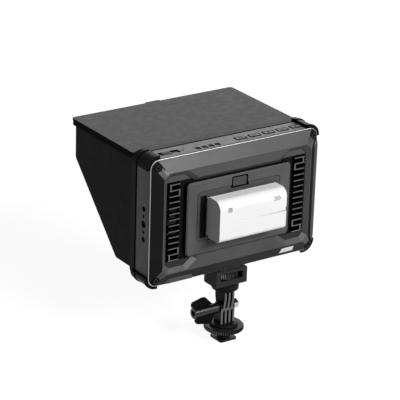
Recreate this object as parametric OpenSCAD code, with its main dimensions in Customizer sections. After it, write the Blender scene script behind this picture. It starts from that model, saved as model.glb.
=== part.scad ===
// Camera field monitor with a folding sun hood, a slide-on battery and a tilting shoe mount.
// Origin: centre of the shoe foot's underside. +Z is up, the screen faces -Y, the battery faces +Y.

/* [Monitor body] */
// Width of the metal side frame
body_w = 180; // [170:1:215]
// Height of the metal side frame
body_h = 120; // [116:1:140]
// Outer corner radius of the side frame
corner_r = 9; // [7.5:0.5:12]
// Depth of the side frame from its rear edge to the front bezel
frame_depth = 20; // [19.5:0.5:26]
// Wall thickness of the side frame
frame_wall = 2.4; // [2:0.1:3]
// Bright cut edge around the rear of the side frame
edge_cut = 0.9; // [0.5:0.1:1.2]
// Depth of the front bezel
bezel_t = 2.7; // [2.4:0.1:4]
// Step from the side frame in to the bezel
bezel_step = 0.8; // [0.4:0.1:1.5]
// Width of the bezel's rim around the glass
bezel_rim = 4.2; // [3:0.2:6]
// Thickness of the cover glass
glass_t = 1.1; // [0.7:0.1:1.5]
// Distance of the mounting threads from the rear edge
thread_y = 9; // [8:0.5:10]

/* [Screen and electronics] */
// Width of the display panel
panel_w = 163.8; // [150:0.2:166]
// Height of the display panel
panel_h = 103; // [95:0.5:106]
// Thickness of the display panel
panel_t = 2.6; // [2:0.1:3.2]
// Thickness of the backlight tray
tray_t = 3.2; // [2.5:0.1:3.6]
// Height of the posts between the tray and the main board
post_h = 3.5; // [3:0.1:4]
// Width of the main board
board_w = 158; // [150:1:158]
// Height of the main board
board_h = 92; // [86:1:92]
// Thickness of the circuit boards
board_t = 1.6; // [1:0.1:2]
// Size of the square cooling fan
fan_w = 25; // [20:1:25]
// Distance of the fan from the side of the body
fan_x = 11; // [11:0.5:14]
// Thickness of the cooling fan
fan_t = 6.9; // [5:0.1:7.2]

/* [Rear cover] */
// Height of the cover's crest over the rear edge
cover_rise = 6.5; // [6:0.1:8]
// Width of the sloping border at the left and right
slope_side = 10.6; // [9.8:0.1:11]
// Width of the sloping border at the top and bottom
slope_end = 12.2; // [11.8:0.2:12.6]
// Depth of the cover's floor over the rear edge
floor_y = 2.6; // [2.2:0.1:3]
// Underside of the cover over the rear edge
ceiling_y = 0.8; // [0.5:0.1:1.2]
// Width of the raised battery deck
deck_w = 111.5; // [108:0.5:113]
// Height of the raised battery deck
deck_h = 69.6; // [66:0.2:71]
// Top of the battery deck over the rear edge
deck_y = 7.8; // [7.6:0.1:9]
// Number of bars in each vent
bar_count = 14; // [8:1:14]
// Distance between the vent bars
bar_pitch = 5.5; // [4.5:0.1:5.6]
// Thickness of a vent bar
bar_t = 1; // [0.8:0.1:1.6]
// Length of a vent bar
bar_l = 11.1; // [9:0.1:11.6]
// Radius of the cover screws' pockets
pocket_r = 3.7; // [3.4:0.1:3.9]
// Radius of the cover screws' heads
head_r = 2.7; // [2.4:0.1:3]
// Radius of the cover screws' shanks
shank_r = 1.5; // [1.2:0.1:1.6]

/* [Battery] */
// Length of the battery
battery_l = 71.8; // [66:0.2:73]
// Width of the battery
battery_w = 38.6; // [38.2:0.2:40]
// Thickness of the battery
battery_t = 20.7; // [20.6:0.1:24]
// Radius of the battery's long outer edges
battery_r = 8.5; // [6:0.5:9]
// Distance that the battery slides to come off
battery_travel = 7; // [4:0.5:7]
// Radius of a battery cell
cell_r = 9.1; // [8:0.1:9.1]
// Length of a battery cell
cell_l = 65; // [60:1:65]
// Width of the release button
release_w = 15.4; // [12:0.2:18]
// Height of the release button
release_h = 8.7; // [7:0.1:9]
// Travel of the release button
release_travel = 1.4; // [0.8:0.1:1.6]

/* [Controls and ports] */
// Width of a function button
button_w = 11.8; // [9:0.2:12]
// Depth of a function button
button_d = 6.8; // [5:0.2:7.4]
// Distance between the function buttons
button_pitch = 15.2; // [14.8:0.1:15.4]
// Travel of a function button
button_travel = 0.6; // [0.3:0.1:0.8]
// Length of the power switch's recess
switch_slot = 21; // [16:0.5:22]
// Travel of the power switch
switch_travel = 4; // [2:0.5:5]
// Width of a display port
hdmi_w = 15.2; // [15:0.1:16]
// Height of a display port
hdmi_h = 5.8; // [5.6:0.1:6.2]

/* [Sun hood] */
// Depth of the hood's frame
hood_frame_d = 7.4; // [6:0.2:10]
// Width of the hood frame's bars beside the screen
hood_bar = 10; // [8:0.5:12]
// Length of the hood's roof from its hinge
roof_l = 102.5; // [85:0.5:120]
// Thickness of the roof and the flaps
hood_t = 1.8; // [1.4:0.1:2.2]
// Depth of the roof's side skirts
skirt_h = 6.2; // [5:0.1:9]
// Thickness of the roof's side skirts
skirt_t = 1.2; // [0.8:0.1:1.6]
// Length of the side flaps at the roof
flap_top_l = 97; // [75:0.5:98]
// Length of the side flaps at the bottom
flap_bottom_l = 28; // [15:1:50]
// Height of the side flaps' straight front edge
flap_front_h = 33; // [15:1:60]
// Thickness of the corner clips
clip_t = 2.1; // [1.6:0.1:3]
// Radius of the hood's hinge pins
hood_pin_r = 1; // [0.8:0.1:1.1]
// Radius of the hood's hinge barrels
barrel_r = 1.9; // [1.8:0.1:2.1]

/* [Shoe mount] */
// Width of the shoe foot
foot_w = 18.6; // [18:0.1:19]
// Thickness of the shoe foot
foot_t = 2; // [1.8:0.1:2.2]
// Gap for the shoe's rails between the foot and the clamp washer
shoe_gap = 6.2; // [5:0.1:8]
// Distance that the clamp washer comes down
clamp_travel = 4; // [2:0.5:4]
// Radius of the foot's threaded stem
stem_r = 4.5; // [4:0.1:5]
// Radius of the lock wheel
lock_r = 18.5; // [15:0.5:22]
// Thickness of the lock wheel
lock_t = 4.1; // [3.5:0.1:6]
// Radius of the fork's round base
fork_base_r = 13.1; // [11.5:0.1:15]
// Height of the pivot over the fork's base
pivot_rise = 17.6; // [16:0.2:24]
// Thickness of a fork finger
finger_t = 2.05; // [1.8:0.05:3]
// Gap between a finger and its neighbour
finger_gap = 0.1; // [0.05:0.01:0.1]
// Radius of a finger's rounded end
finger_r = 5.75; // [5:0.05:7]
// Height from the pivot to the upper fork's disc
disc_rise = 17.5; // [15:0.5:22]
// Radius of the disc under the block
disc_r = 12.5; // [11:0.5:15]
// Thickness of the disc under the block
disc_t = 5.4; // [4:0.2:8]
// Width of the mounting block
block_w = 34; // [30:0.5:44]
// Depth of the mounting block
block_d = 26; // [24.5:0.5:32]
// Height of the mounting block
block_h = 15.2; // [13:0.2:20]
// Radius of the thumb wheel
thumb_r = 11.2; // [9:0.1:11.5]
// Thickness of the thumb wheel
thumb_t = 5.6; // [4:0.1:6]
// Thickness of the rubber pad under the monitor
pad_t = 1.5; // [1:0.1:3]
// Radius of the mounting screw
screw_r = 3.1; // [2.8:0.05:3.2]
// Radius of the pivot bolt
bolt_r = 2.5; // [2:0.1:3]
// Radius of the wing knob's hub
hub_r = 5; // [4:0.1:5.5]
// Length of the wing knob's hub
hub_l = 25; // [18:0.5:32]
// Reach of the knob's wings from the axis
wing_reach = 12.4; // [10:0.1:13.5]

/* [Hidden] */
$fn = 48;

// Clearances: running fits on pins, slip fits of flat parts, open gaps, and a hair inside cuts.
run = 0.07;
slip = 0.2;
gap = 0.3;
eps = 0.05;

// Heights up the shoe mount
washer_t = 1.6;
washer_z = foot_t + shoe_gap;
lock_z = washer_z + washer_t + slip;
fork_z = lock_z + lock_t + gap;
pivot_z = fork_z + pivot_rise;
disc_z = pivot_z + disc_rise;
neck_h = 1.3;
block_z = disc_z + disc_t + neck_h;
pad_z = block_z + block_h;
wheel_z = block_z + 6.2;
wheel_gap = 0.4;
block_y1 = block_d / 2 - 3;
body_z = pad_z + pad_t + body_h / 2;
// The body's rear edge, placed so that the bottom thread stands over the mount's axis
rear_y = thread_y;

// Layers of the screen, measured from the rear edge
front_y = -frame_depth;
bezel_y = front_y - bezel_t;
glass_y = bezel_y + 0.3;
panel_y = glass_y + glass_t + slip;
tray_y = panel_y + panel_t + slip;
board_y = tray_y + tray_t + post_h;
port_y = board_y + board_t;
glass_w = body_w - 2 * (bezel_step + bezel_rim + slip);
glass_h = body_h - 2 * (bezel_step + bezel_rim + slip);
inner_w = body_w - 2 * frame_wall;
inner_h = body_h - 2 * frame_wall;
boss_l = 8;
insert_r = 5;
side_insert_r = 4.2;
side_boss_x = inner_w / 2 - boss_l;
side_boss_half = 18;
fan_pos = body_w / 2 - fan_x - fan_w / 2;

// Rear cover
cover_w = body_w - 2 * edge_cut + 0.2;
cover_h = body_h - 2 * edge_cut + 0.2;
crest_w = body_w - 2 * slope_side;
crest_h = body_h - 2 * slope_end;
crest_cut = 5;
cover_screw_x = body_w / 2 - 6.4;
cover_screw_z = body_h / 2 - 6.7;
post_r = 3.6;
screw_seat_y = 1.2;
screw_tip_y = -9;
vent_floor_x = crest_w / 2 - 4.5;
vent_w = bar_l + 2.6;
vent_x = vent_floor_x - 0.85 - vent_w / 2;
vent_h = bar_pitch * (bar_count - 1) + 3.2;
well_h = deck_h + 2 * 0.5;
well_rim = deck_h + 2 * 4.2;

// Battery bay
plate_x = 0.5;
plate_w = 88.4;
plate_z = 1.2;
plate_h = 46.6;
plate_y = 4.4;
plate_top = deck_y - 0.2;
seat_y = plate_top - 0.6;
battery_x0 = -37.4;
battery_z = 0.2;
battery_y0 = seat_y + slip;
battery_y1 = battery_y0 + battery_t;
base_t = 4.6;
case_wall = 0.9;
release_z = 27.3;
release_top = deck_y - 0.4;
release_gap = 0.9;
release_lip = 1.3;
flange_y = floor_y + 2.7;
guide_r = 3;
hook_l = 8;

// Controls on the top wall, placed from its two ends
control_y = -9.5;
button_count = 5;
button_gap = 0.35;
first_button_x = -body_w / 2 + 18.2 + (button_count - 1) * button_pitch;
first_lens_x = body_w / 2 - 53.8;
lens_y = -6.6;
lens_pitch = 6.87;
lens_w = 5;
lens_d = 3.2;
wall_in_z = body_h / 2 - frame_wall;
button_board_z = wall_in_z - 5.6;
switch_x = body_w / 2 - 25.5;
switch_y = -10;
switch_rest_x = switch_x + 2.4;
switch_mid_x = switch_rest_x - switch_travel / 2;

// Ports
hdmi_z = [24, 2];
headphone_z = -18;
usb_x = 64;
dc_x = 52;
dc_y = port_y + 4;
port_l = 12;

// Threads in the side wall
insert_z = -1.8;
side_thread_r = 2.6;
locator_pitch = 14.7;
side_screw_pitch = 28.9;

// Hood hinges
hood_y1 = bezel_y - slip;
hood_y0 = hood_y1 - hood_frame_d;
roof_z = body_h / 2 - 2.5;
barrel_y = hood_y0 - barrel_r - gap;
barrel_z = roof_z - barrel_r;
roof_w = body_w - 3.2;
flap_x = roof_w / 2 - skirt_t - gap;
flap_axis_x = flap_x - hood_t - 0.2;
flap_axis_y = barrel_y;
flap_stack = hood_t + 0.5;
flap_top_z = barrel_z - barrel_r - 0.5;
flap_bottom_z = -body_h / 2 + 7.8;
lug_t = 3.2;
lug_x = flap_axis_x - 14.9;

// Pivot
finger_pitch = 2 * (finger_t + finger_gap);
lower_count = 4;
upper_count = 3;
lower_w = (lower_count - 1) * finger_pitch + finger_t;
knob_x = lower_w / 2 + gap;

module on_monitor() {
  translate([0, rear_y, body_z]) children();
}

// ---------- shapes ----------

// Rectangle with round corners, from straight and round pieces only
module rounded(w, h, r) {
  square([w - 2 * r, h], center = true);
  square([w, h - 2 * r], center = true);
  for (x = [-1, 1], y = [-1, 1])
    translate([x * (w / 2 - r), y * (h / 2 - r)]) circle(r);
}

// Rounded plate standing in the XZ plane, from y0 to y1
module slab(w, h, r, y0, y1) {
  translate([0, y1, 0]) rotate([90, 0, 0]) linear_extrude(y1 - y0) rounded(w, h, r);
}

// Rounded plate lying in the XY plane, from z0 to z1
module tile(w, d, r, z0, z1) {
  translate([0, 0, z0]) linear_extrude(z1 - z0) rounded(w, d, r);
}

// Rounded plate in the XZ plane with a cut edge of width c at its rear
module cut_slab(w, h, r, y0, y1, c) {
  x = w / 2;
  z = h / 2;
  translate([-x + r, 0, 0]) rotate([90, 0, 90]) linear_extrude(w - 2 * r)
    polygon([[y0, -z], [y1 - c, -z], [y1, -z + c], [y1, z - c], [y1 - c, z], [y0, z]]);
  translate([0, 0, -z + r]) linear_extrude(h - 2 * r)
    polygon([[-x, y0], [x, y0], [x, y1 - c], [x - c, y1], [-x + c, y1], [-x, y1 - c]]);
  for (sx = [-1, 1], sz = [-1, 1])
    translate([sx * (x - r), 0, sz * (z - r)]) rotate([-90, 0, 0]) {
      translate([0, 0, y0]) cylinder(r = r, h = y1 - c - y0);
      translate([0, 0, y1 - c]) cylinder(r1 = r, r2 = r - c, h = c);
    }
}

module box(x0, x1, y0, y1, z0, z1) {
  translate([x0, y0, z0]) cube([x1 - x0, y1 - y0, z1 - z0]);
}

module rod_x(y, z, r, x0, x1) {
  translate([x0, y, z]) rotate([0, 90, 0]) cylinder(r = r, h = x1 - x0);
}

module rod_y(x, z, r, y0, y1) {
  translate([x, y0, z]) rotate([-90, 0, 0]) cylinder(r = r, h = y1 - y0);
}

module rod_z(x, y, r, z0, z1) {
  translate([x, y, z0]) cylinder(r = r, h = z1 - z0);
}

// Outline drawn in the YZ plane, extruded from x0 to x1
module along_x(x0, x1) {
  translate([x0, 0, 0]) rotate([90, 0, 90]) linear_extrude(x1 - x0) children();
}

// Toothed outline of a knurled wheel
module knurl(r, teeth, depth) {
  polygon([for (i = [0 : 2 * teeth - 1])
    let (a = 180 * i / teeth, q = r - depth * (i % 2)) [q * cos(a), q * sin(a)]]);
}

// ---------- monitor body ----------

module corner_posts(r, y0, y1) {
  for (x = [-1, 1], z = [-1, 1])
    rod_y(x * cover_screw_x, z * cover_screw_z, r, y0, y1);
}

module mid_frame() {
  color([0.2, 0.2, 0.2]) on_monitor() difference() {
    union() {
      difference() {
        cut_slab(body_w, body_h, corner_r, front_y, 0, edge_cut);
        slab(inner_w, inner_h, corner_r - frame_wall, front_y - 1, 1);
      }
      intersection() {
        corner_posts(post_r, tray_y + tray_t + gap, -1.8);
        slab(body_w - 1, body_h - 1, corner_r - 0.5, front_y, 0);
      }
      // bosses around the bottom and side threads
      box(-insert_r - 3, insert_r + 3, -thread_y - 5, -thread_y + 5,
          -inner_h / 2 - 1, -inner_h / 2 + boss_l - 0.4);
      box(side_boss_x, inner_w / 2 + 1, -thread_y - 5, -thread_y + 5,
          insert_z - side_boss_half, insert_z + side_boss_half);
      // hangers of the button board
      for (i = [0.5, 2.5])
        box(first_button_x - (i * button_pitch) - 0.6, first_button_x - (i * button_pitch) + 0.6,
            control_y - 4, control_y + 4, button_board_z + board_t, wall_in_z + 1);
    }
    corner_posts(shank_r + 0.02, screw_tip_y - 1, 1);
    // bottom thread
    rod_z(0, -thread_y, screw_r + 0.4, -body_h / 2 - 1, -inner_h / 2 + 1);
    rod_z(0, -thread_y, insert_r + 0.02, -inner_h / 2, -inner_h / 2 + boss_l + 1);
    // side thread, locating holes and side screws
    rod_x(-thread_y, insert_z, 3.3, inner_w / 2 - 1, body_w / 2 + 1);
    rod_x(-thread_y, insert_z, side_insert_r + 0.02, side_boss_x - 1, inner_w / 2);
    for (s = [-1, 1]) {
      rod_x(-thread_y, insert_z + s * locator_pitch / 2, 1.6, body_w / 2 - 6, body_w / 2 + 1);
      rod_x(-thread_y, insert_z + s * side_screw_pitch / 2, 2.5, body_w / 2 - 8, body_w / 2 + 1);
    }
    // function buttons
    for (i = [0 : button_count - 1])
      translate([first_button_x - i * button_pitch, control_y, 0])
        tile(button_w + 2 * button_gap, button_d + 2 * button_gap, 2, wall_in_z - 1, body_h / 2 + 1);
    // power switch: a shallow recess with a slot for its stem
    translate([switch_x, switch_y, 0]) tile(switch_slot, 7, 1, body_h / 2 - 1.1, body_h / 2 + 1);
    translate([switch_mid_x, switch_y, 0])
      tile(switch_travel + 3.6, 3, 0.8, wall_in_z - 1, body_h / 2 + 1);
    // indicator lenses
    for (x = lens_x())
      translate([x, lens_y, 0]) tile(lens_w + slip, lens_d + slip, 0.6, wall_in_z - 1, body_h / 2 + 1);
    // ports in the right wall and the bottom wall
    for (z = hdmi_z)
      box(-body_w / 2 - 1, -inner_w / 2 + 1, port_y - slip, port_y + hdmi_h + slip,
          z - hdmi_w / 2 - slip, z + hdmi_w / 2 + slip);
    rod_x(port_y + 3, headphone_z, 2.9, -body_w / 2 - 1, -inner_w / 2 + 1);
    translate([usb_x, port_y + 1.6, 0]) tile(9.4, 3.6, 1.7, -body_h / 2 - 1, -inner_h / 2 + 1);
    rod_z(dc_x, dc_y, 4.1, -body_h / 2 - 1, -inner_h / 2 + 1);
  }
}

function lens_x() = [for (i = [0 : 3]) first_lens_x - i * lens_pitch];

module front_bezel() {
  w = body_w - 2 * bezel_step;
  h = body_h - 2 * bezel_step;
  color([0.05, 0.05, 0.05]) on_monitor() difference() {
    slab(w, h, corner_r - bezel_step, bezel_y, front_y);
    slab(glass_w + 2 * slip, glass_h + 2 * slip, 4, bezel_y - 1, front_y + 1);
    slab(panel_w + 2 * slip, panel_h + 2 * slip, 1.2, panel_y - slip, front_y + 1);
  }
}

module cover_glass() {
  color([0.02, 0.02, 0.03]) on_monitor() slab(glass_w, glass_h, 3.8, glass_y, glass_y + glass_t);
}

module lcd_panel() {
  color([0.08, 0.09, 0.1]) on_monitor() slab(panel_w, panel_h, 1, panel_y, panel_y + panel_t);
}

module backlight_tray() {
  color([0.75, 0.76, 0.78]) on_monitor() {
    slab(panel_w + 1.2, panel_h + 1.2, 1.5, tray_y, tray_y + tray_t);
    for (x = [-1, 1], z = [-1, 1])
      rod_y(x * (board_w / 2 - 9), z * (board_h / 2 - 5), 2.5, tray_y + tray_t - 1, board_y);
  }
}

module main_board() {
  color([0.05, 0.25, 0.12]) on_monitor() difference() {
    union() {
      slab(board_w, board_h, 2, board_y, board_y + board_t);
      // processor and memory packages on the screen side
      slab(22, 22, 0.6, board_y - 1.6, board_y + eps);
      translate([30, 0, 8]) slab(12, 9, 0.4, board_y - 1.2, board_y + eps);
      translate([-30, 0, 8]) slab(12, 9, 0.4, board_y - 1.2, board_y + eps);
    }
    for (x = [-1, 1], z = [-1, 1])
      rod_y(x * (board_w / 2 - 9), z * (board_h / 2 - 5), 1.4, board_y - 1, board_y + board_t + 1);
    box(side_boss_x - gap, inner_w / 2, board_y - 1, port_y + 1,
        insert_z - side_boss_half - gap, insert_z + side_boss_half + gap);
  }
}

module heat_sink() {
  side_margin = 31;
  end_margin = 16;
  x0 = -board_w / 2 + side_margin;
  x1 = fan_pos - fan_w / 2 - 1.2;
  half = board_h / 2 - end_margin;
  color([0.7, 0.7, 0.72]) on_monitor() {
    box(x0, x1, port_y, port_y + 1.4, -half, half);
    for (z = [-half + 0.5 : 5 : half])
      box(x0, x1, port_y + 1, ceiling_y - 1.6, z - 0.5, z + 0.5);
  }
}

module fan_housing() {
  y1 = ceiling_y - gap;
  y0 = y1 - fan_t;
  color([0.08, 0.08, 0.08]) on_monitor() translate([fan_pos, 0, 0]) {
    difference() {
      slab(fan_w, fan_w, 1.5, y0, y1);
      rod_y(0, 0, fan_w / 2 - 1, y0 - 1, y1 + 1);
    }
    for (a = [10, 130, 250])
      rotate([0, a, 0]) box(0, fan_w / 2 - 0.3, y0 + 0.3, y0 + 1, -0.8, 0.8);
    rod_y(0, 0, 4, y0, y0 + 1.2);
    rod_y(0, 0, 1, y0, y0 + 5);
  }
}

module fan_rotor() {
  y0 = ceiling_y - gap - fan_t + 1.2 + gap;
  y1 = ceiling_y - gap - 0.4;
  blades = 7;
  color([0.12, 0.12, 0.12]) on_monitor() translate([fan_pos, 0, 0]) difference() {
    union() {
      rod_y(0, 0, 4.6, y0, y1);
      for (i = [0 : blades - 1])
        rotate([0, i * 360 / blades, 0]) translate([0, (y0 + y1) / 2, 0])
          rotate([35, 0, 0]) translate([3.6, -2.6, -0.35]) cube([fan_w / 2 - 6, 5.2, 0.7]);
    }
    rod_y(0, 0, 1 + run, y0 - 1, y0 + 4.2);
  }
}

module button_board() {
  x1 = first_button_x + button_w / 2 + 1.1;
  x0 = first_button_x - (button_count - 1) * button_pitch - button_w / 2 - 0.6;
  half = button_d / 2 + 1.6;
  color([0.05, 0.25, 0.12]) on_monitor() {
    box(x0, x1, control_y - half, control_y + half, button_board_z, button_board_z + board_t);
    for (i = [0 : button_count - 1])
      rod_z(first_button_x - i * button_pitch, control_y, 1.8,
            button_board_z + board_t - eps, button_board_z + board_t + 0.7);
  }
}

// Cap, retaining flange and stem of one function button
module function_button(i) {
  color([0.3, 0.3, 0.3]) on_monitor()
    translate([first_button_x - i * button_pitch, control_y, 0]) {
      tile(button_w, button_d, 1.8, wall_in_z - 0.5, body_h / 2 + 0.3);
      tile(button_w + 2 * button_gap + 1.2, button_d + 2 * button_gap + 1.2, 1.8,
           wall_in_z - slip - 1, wall_in_z - slip);
      rod_z(0, 0, 1.4, button_board_z + board_t + 0.8 + button_travel, wall_in_z - slip - 0.9);
    }
}

module switch_body() {
  color([0.1, 0.1, 0.1]) on_monitor() translate([switch_mid_x, switch_y, 0]) difference() {
    tile(switch_travel + 9, 7.6, 0.6, wall_in_z - slip - 4.2, wall_in_z - slip);
    tile(switch_travel + 3.6, 3, 0.5, wall_in_z - slip - 2.4, wall_in_z);
  }
}

// Knob at the outer end of its travel, with grip ribs
module power_switch() {
  knob_w = 8;
  top = body_h / 2 + 0.1;
  color([0.35, 0.35, 0.35]) on_monitor()
    translate([switch_rest_x, switch_y, 0]) {
      tile(knob_w, 5.4, 0.8, body_h / 2 - 1, top);
      for (x = [-2.4 : 1.6 : 2.4])
        box(x - 0.35, x + 0.35, -2.2, 2.2, top - eps, top + 0.35);
      tile(2.6, 2.2, 0.4, wall_in_z - slip - 2, body_h / 2 - 0.9);
    }
}

module indicator_lenses() {
  color([0.03, 0.03, 0.03]) on_monitor() for (x = lens_x())
    translate([x, lens_y, 0]) tile(lens_w, lens_d, 0.5, wall_in_z - 0.2, body_h / 2 - 0.25);
}

module thread_inserts() {
  color([0.75, 0.62, 0.3]) on_monitor() {
    difference() {
      rod_z(0, -thread_y, insert_r, -inner_h / 2 + eps, -inner_h / 2 + boss_l - 0.4);
      rod_z(0, -thread_y, screw_r + run, -inner_h / 2 - 1, -inner_h / 2 + boss_l + 1);
    }
    difference() {
      rod_x(-thread_y, insert_z, side_insert_r, side_boss_x, inner_w / 2 - eps);
      rod_x(-thread_y, insert_z, side_thread_r, side_boss_x - 1, inner_w / 2 + 1);
    }
  }
}

module hdmi_ports() {
  x0 = -body_w / 2 + 0.3;
  x1 = x0 + port_l;
  color([0.7, 0.7, 0.72]) on_monitor() for (z = hdmi_z) {
    difference() {
      box(x0, x1, port_y, port_y + hdmi_h, z - hdmi_w / 2, z + hdmi_w / 2);
      box(x0 - 1, x1 - 1, port_y + 0.4, port_y + hdmi_h - 0.4, z - hdmi_w / 2 + 0.4,
          z + hdmi_w / 2 - 0.4);
    }
    box(x0 + 2, x1 - 0.9, port_y + hdmi_h / 2 - 0.4, port_y + hdmi_h / 2 + 0.4, z - 5.5, z + 5.5);
  }
}

module usb_port() {
  z0 = -body_h / 2 + 0.3;
  color([0.7, 0.7, 0.72]) on_monitor() translate([usb_x, port_y + 1.6, 0]) {
    difference() {
      tile(8.9, 3.2, 1.55, z0, z0 + port_l + 3);
      tile(8.2, 2.5, 1.2, z0 - 1, z0 + port_l - 2);
    }
    box(-3.3, 3.3, -0.35, 0.35, z0 + 1, z0 + port_l);
  }
}

module dc_jack() {
  z0 = -body_h / 2 + 0.3;
  color([0.06, 0.06, 0.06]) on_monitor() translate([dc_x, dc_y, 0]) {
    difference() {
      union() {
        rod_z(0, 0, 3.9, z0, -inner_h / 2 + 1);
        box(-4.5, 4.5, -4, 4, -inner_h / 2 + slip, z0 + port_l + 3);
      }
      rod_z(0, 0, 2.9, z0 - 1, z0 + port_l - 3);
    }
    rod_z(0, 0, 1, z0 + 0.8, z0 + port_l - 2.5);
  }
}

module headphone_jack() {
  x0 = -body_w / 2 + 0.3;
  color([0.06, 0.06, 0.06]) on_monitor() translate([0, port_y + 3, headphone_z]) difference() {
    union() {
      rod_x(0, 0, 2.7, x0, -inner_w / 2 + 1);
      box(-inner_w / 2 + slip, x0 + port_l, -3, 3, -3.4, 3.4);
    }
    rod_x(0, 0, 1.8, x0 - 1, x0 + port_l - 2);
  }
}

// ---------- rear cover ----------

// Flat plate with cut corners in the XZ plane
module cut_plate(w, h, c, y0, y1) {
  x = w / 2;
  z = h / 2;
  translate([0, y1, 0]) rotate([90, 0, 0]) linear_extrude(y1 - y0)
    polygon([[-x + c, -z], [x - c, -z], [x, -z + c], [x, z - c],
             [x - c, z], [-x + c, z], [-x, z - c], [-x, -z + c]]);
}

// Outline of the left vent pocket: floor at o = 0, rim at o = 1
module vent_outline(o) {
  x_in = deck_w / 2 - 8.7 - 4 * o;
  z_in = deck_h / 2 + 1.7 + 2.5 * o;
  x_diag = deck_w / 2 - 0.1 - 1.6 * o;
  z_out = crest_h / 2 - 4.6 + 3.9 * o;
  x_out = vent_floor_x + 3.9 * o;
  c = 4 + o;
  polygon([[x_in, -z_in], [x_diag, -z_out], [x_out - c, -z_out], [x_out, -z_out + c],
           [x_out, z_out - c], [x_out - c, z_out], [x_diag, z_out], [x_in, z_in]]);
}

module vent_pocket() {
  hull() for (o = [0, 1])
    translate([0, o == 0 ? floor_y + 1 : cover_rise + 1, 0]) rotate([90, 0, 0])
      linear_extrude(0.1) vent_outline(o * 1.28);
  translate([0, floor_y + 2, 0]) rotate([90, 0, 0]) linear_extrude(2) vent_outline(0);
}

// Flat-topped bulge that makes room for the ports, drawn on the bottom slope
module port_bulge(x0, x1) {
  top_y = 3.5;
  z0 = -body_h / 2 + 0.9;
  z1 = -body_h / 2 + 6.2;
  hull() {
    box(x0, x1, 0.2, 0.4, z0, z1 + 1);
    box(x0 + 4.4, x1 - 4.4, top_y - 0.1, top_y, z0 + 1.2, z1);
  }
}

module side_bulge(z0, z1) {
  top_y = 3.5;
  x0 = -body_w / 2 + 0.9;
  x1 = -body_w / 2 + 5.2;
  hull() {
    box(x0, x1 + 1, 0.2, 0.4, z0, z1);
    box(x0 + 1.2, x1, top_y - 0.1, top_y, z0 + 4.4, z1 - 4.4);
  }
}

module rear_cover() {
  locate_w = inner_w - 2 * slip;
  locate_h = inner_h - 2 * slip;
  color([0.25, 0.25, 0.25]) on_monitor() difference() {
    union() {
      hull() {
        slab(cover_w, cover_h, corner_r - 0.8, 0, 0.3, $fn = 32);
        cut_plate(crest_w, crest_h, crest_cut, cover_rise - 0.1, cover_rise);
      }
      slab(locate_w, locate_h, corner_r - frame_wall - slip, -1.6, 0.2);
      port_bulge(42, 74);
      side_bulge(-50, 49);
    }
    // hollow underside
    slab(locate_w - 4, locate_h - 4, 3, -2, ceiling_y);
    // vent pockets and their openings
    for (m = [0, 1]) mirror([m, 0, 0]) {
      vent_pocket();
      box(vent_x - vent_w / 2, vent_x + vent_w / 2, -2, floor_y + 1, -vent_h / 2, vent_h / 2);
    }
    // well around the battery deck, bevelled along the top only
    along_x(-deck_w / 2 + 5, deck_w / 2 - 5)
      polygon([[floor_y, -well_h / 2], [cover_rise + 0.2, -well_h / 2],
               [cover_rise + 0.2, well_rim / 2], [floor_y + 1, well_h / 2],
               [floor_y, well_h / 2]]);
    // cover screws
    for (x = [-1, 1], z = [-1, 1]) {
      rod_y(x * cover_screw_x, z * cover_screw_z, pocket_r, screw_seat_y, cover_rise);
      rod_y(x * cover_screw_x, z * cover_screw_z, shank_r + 0.3, -3, screw_seat_y + 1);
    }
    // seats over the side frame's corner posts
    corner_posts(post_r + slip, -3, 0);
  }
}

module cover_screws() {
  color([0.12, 0.12, 0.12]) on_monitor() for (x = [-1, 1], z = [-1, 1])
    translate([x * cover_screw_x, 0, z * cover_screw_z]) difference() {
      union() {
        rod_y(0, 0, head_r, screw_seat_y, screw_seat_y + 1.7);
        rod_y(0, 0, shank_r, screw_tip_y, screw_seat_y + 0.2);
      }
      translate([0, screw_seat_y + 0.6, 0]) rotate([-90, 0, 0]) cylinder(r = 1.2, h = 2, $fn = 6);
    }
}

// Thin bare plate on the bottom slope, a little narrower at its top
module label_plate() {
  slope = atan((cover_rise - 0.3) / (cover_h / 2 - crest_h / 2));
  z0 = -cover_h / 2;
  color([0.9, 0.9, 0.88]) on_monitor() translate([-body_w / 2 + 30.6, 0.3, z0])
    rotate([90 - slope, 0, 0]) translate([0, 0, -0.3])
      linear_extrude(0.25) polygon([[-6, 4.4], [9, 4.4], [7.9, 10.2], [-5.4, 10.2]]);
}

// Rails low in the vent opening carry the bars and the links at each end
module vent_grille() {
  y0 = ceiling_y + 0.3;
  bar_y = floor_y + 2.4;
  z_top = bar_pitch * (bar_count - 1) / 2;
  opening = vent_w / 2 - slip;
  for (s = [-1, 1])
    box(vent_x + s * (opening - 0.45) - 0.45, vent_x + s * (opening - 0.45) + 0.45,
        y0, y0 + 1.4, -z_top - 1.3, z_top + 1.3);
  for (i = [0 : bar_count - 1]) {
    z = z_top - i * bar_pitch;
    box(vent_x - bar_l / 2, vent_x + bar_l / 2, y0, bar_y, z - bar_t / 2, z + bar_t / 2);
    box(vent_x - opening, vent_x + opening, y0, y0 + 1.4, z - bar_t / 2, z + bar_t / 2);
  }
  for (s = [-1, 1]) {
    // outer link between the last two bars, inner link between the next two
    zo = s > 0 ? z_top - bar_pitch : -z_top;
    zi = s > 0 ? z_top - 2 * bar_pitch : -z_top + bar_pitch;
    box(vent_x + bar_l / 2 - 2, vent_x + bar_l / 2 - 0.6, y0, bar_y, zo, zo + bar_pitch);
    box(vent_x - bar_l / 2, vent_x - bar_l / 2 + 1.4, y0, bar_y, zi, zi + bar_pitch);
  }
}

module vent_grille_left() {
  color([0.1, 0.1, 0.1]) on_monitor() vent_grille();
}

module vent_grille_right() {
  color([0.1, 0.1, 0.1]) on_monitor() mirror([1, 0, 0]) vent_grille();
}

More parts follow.
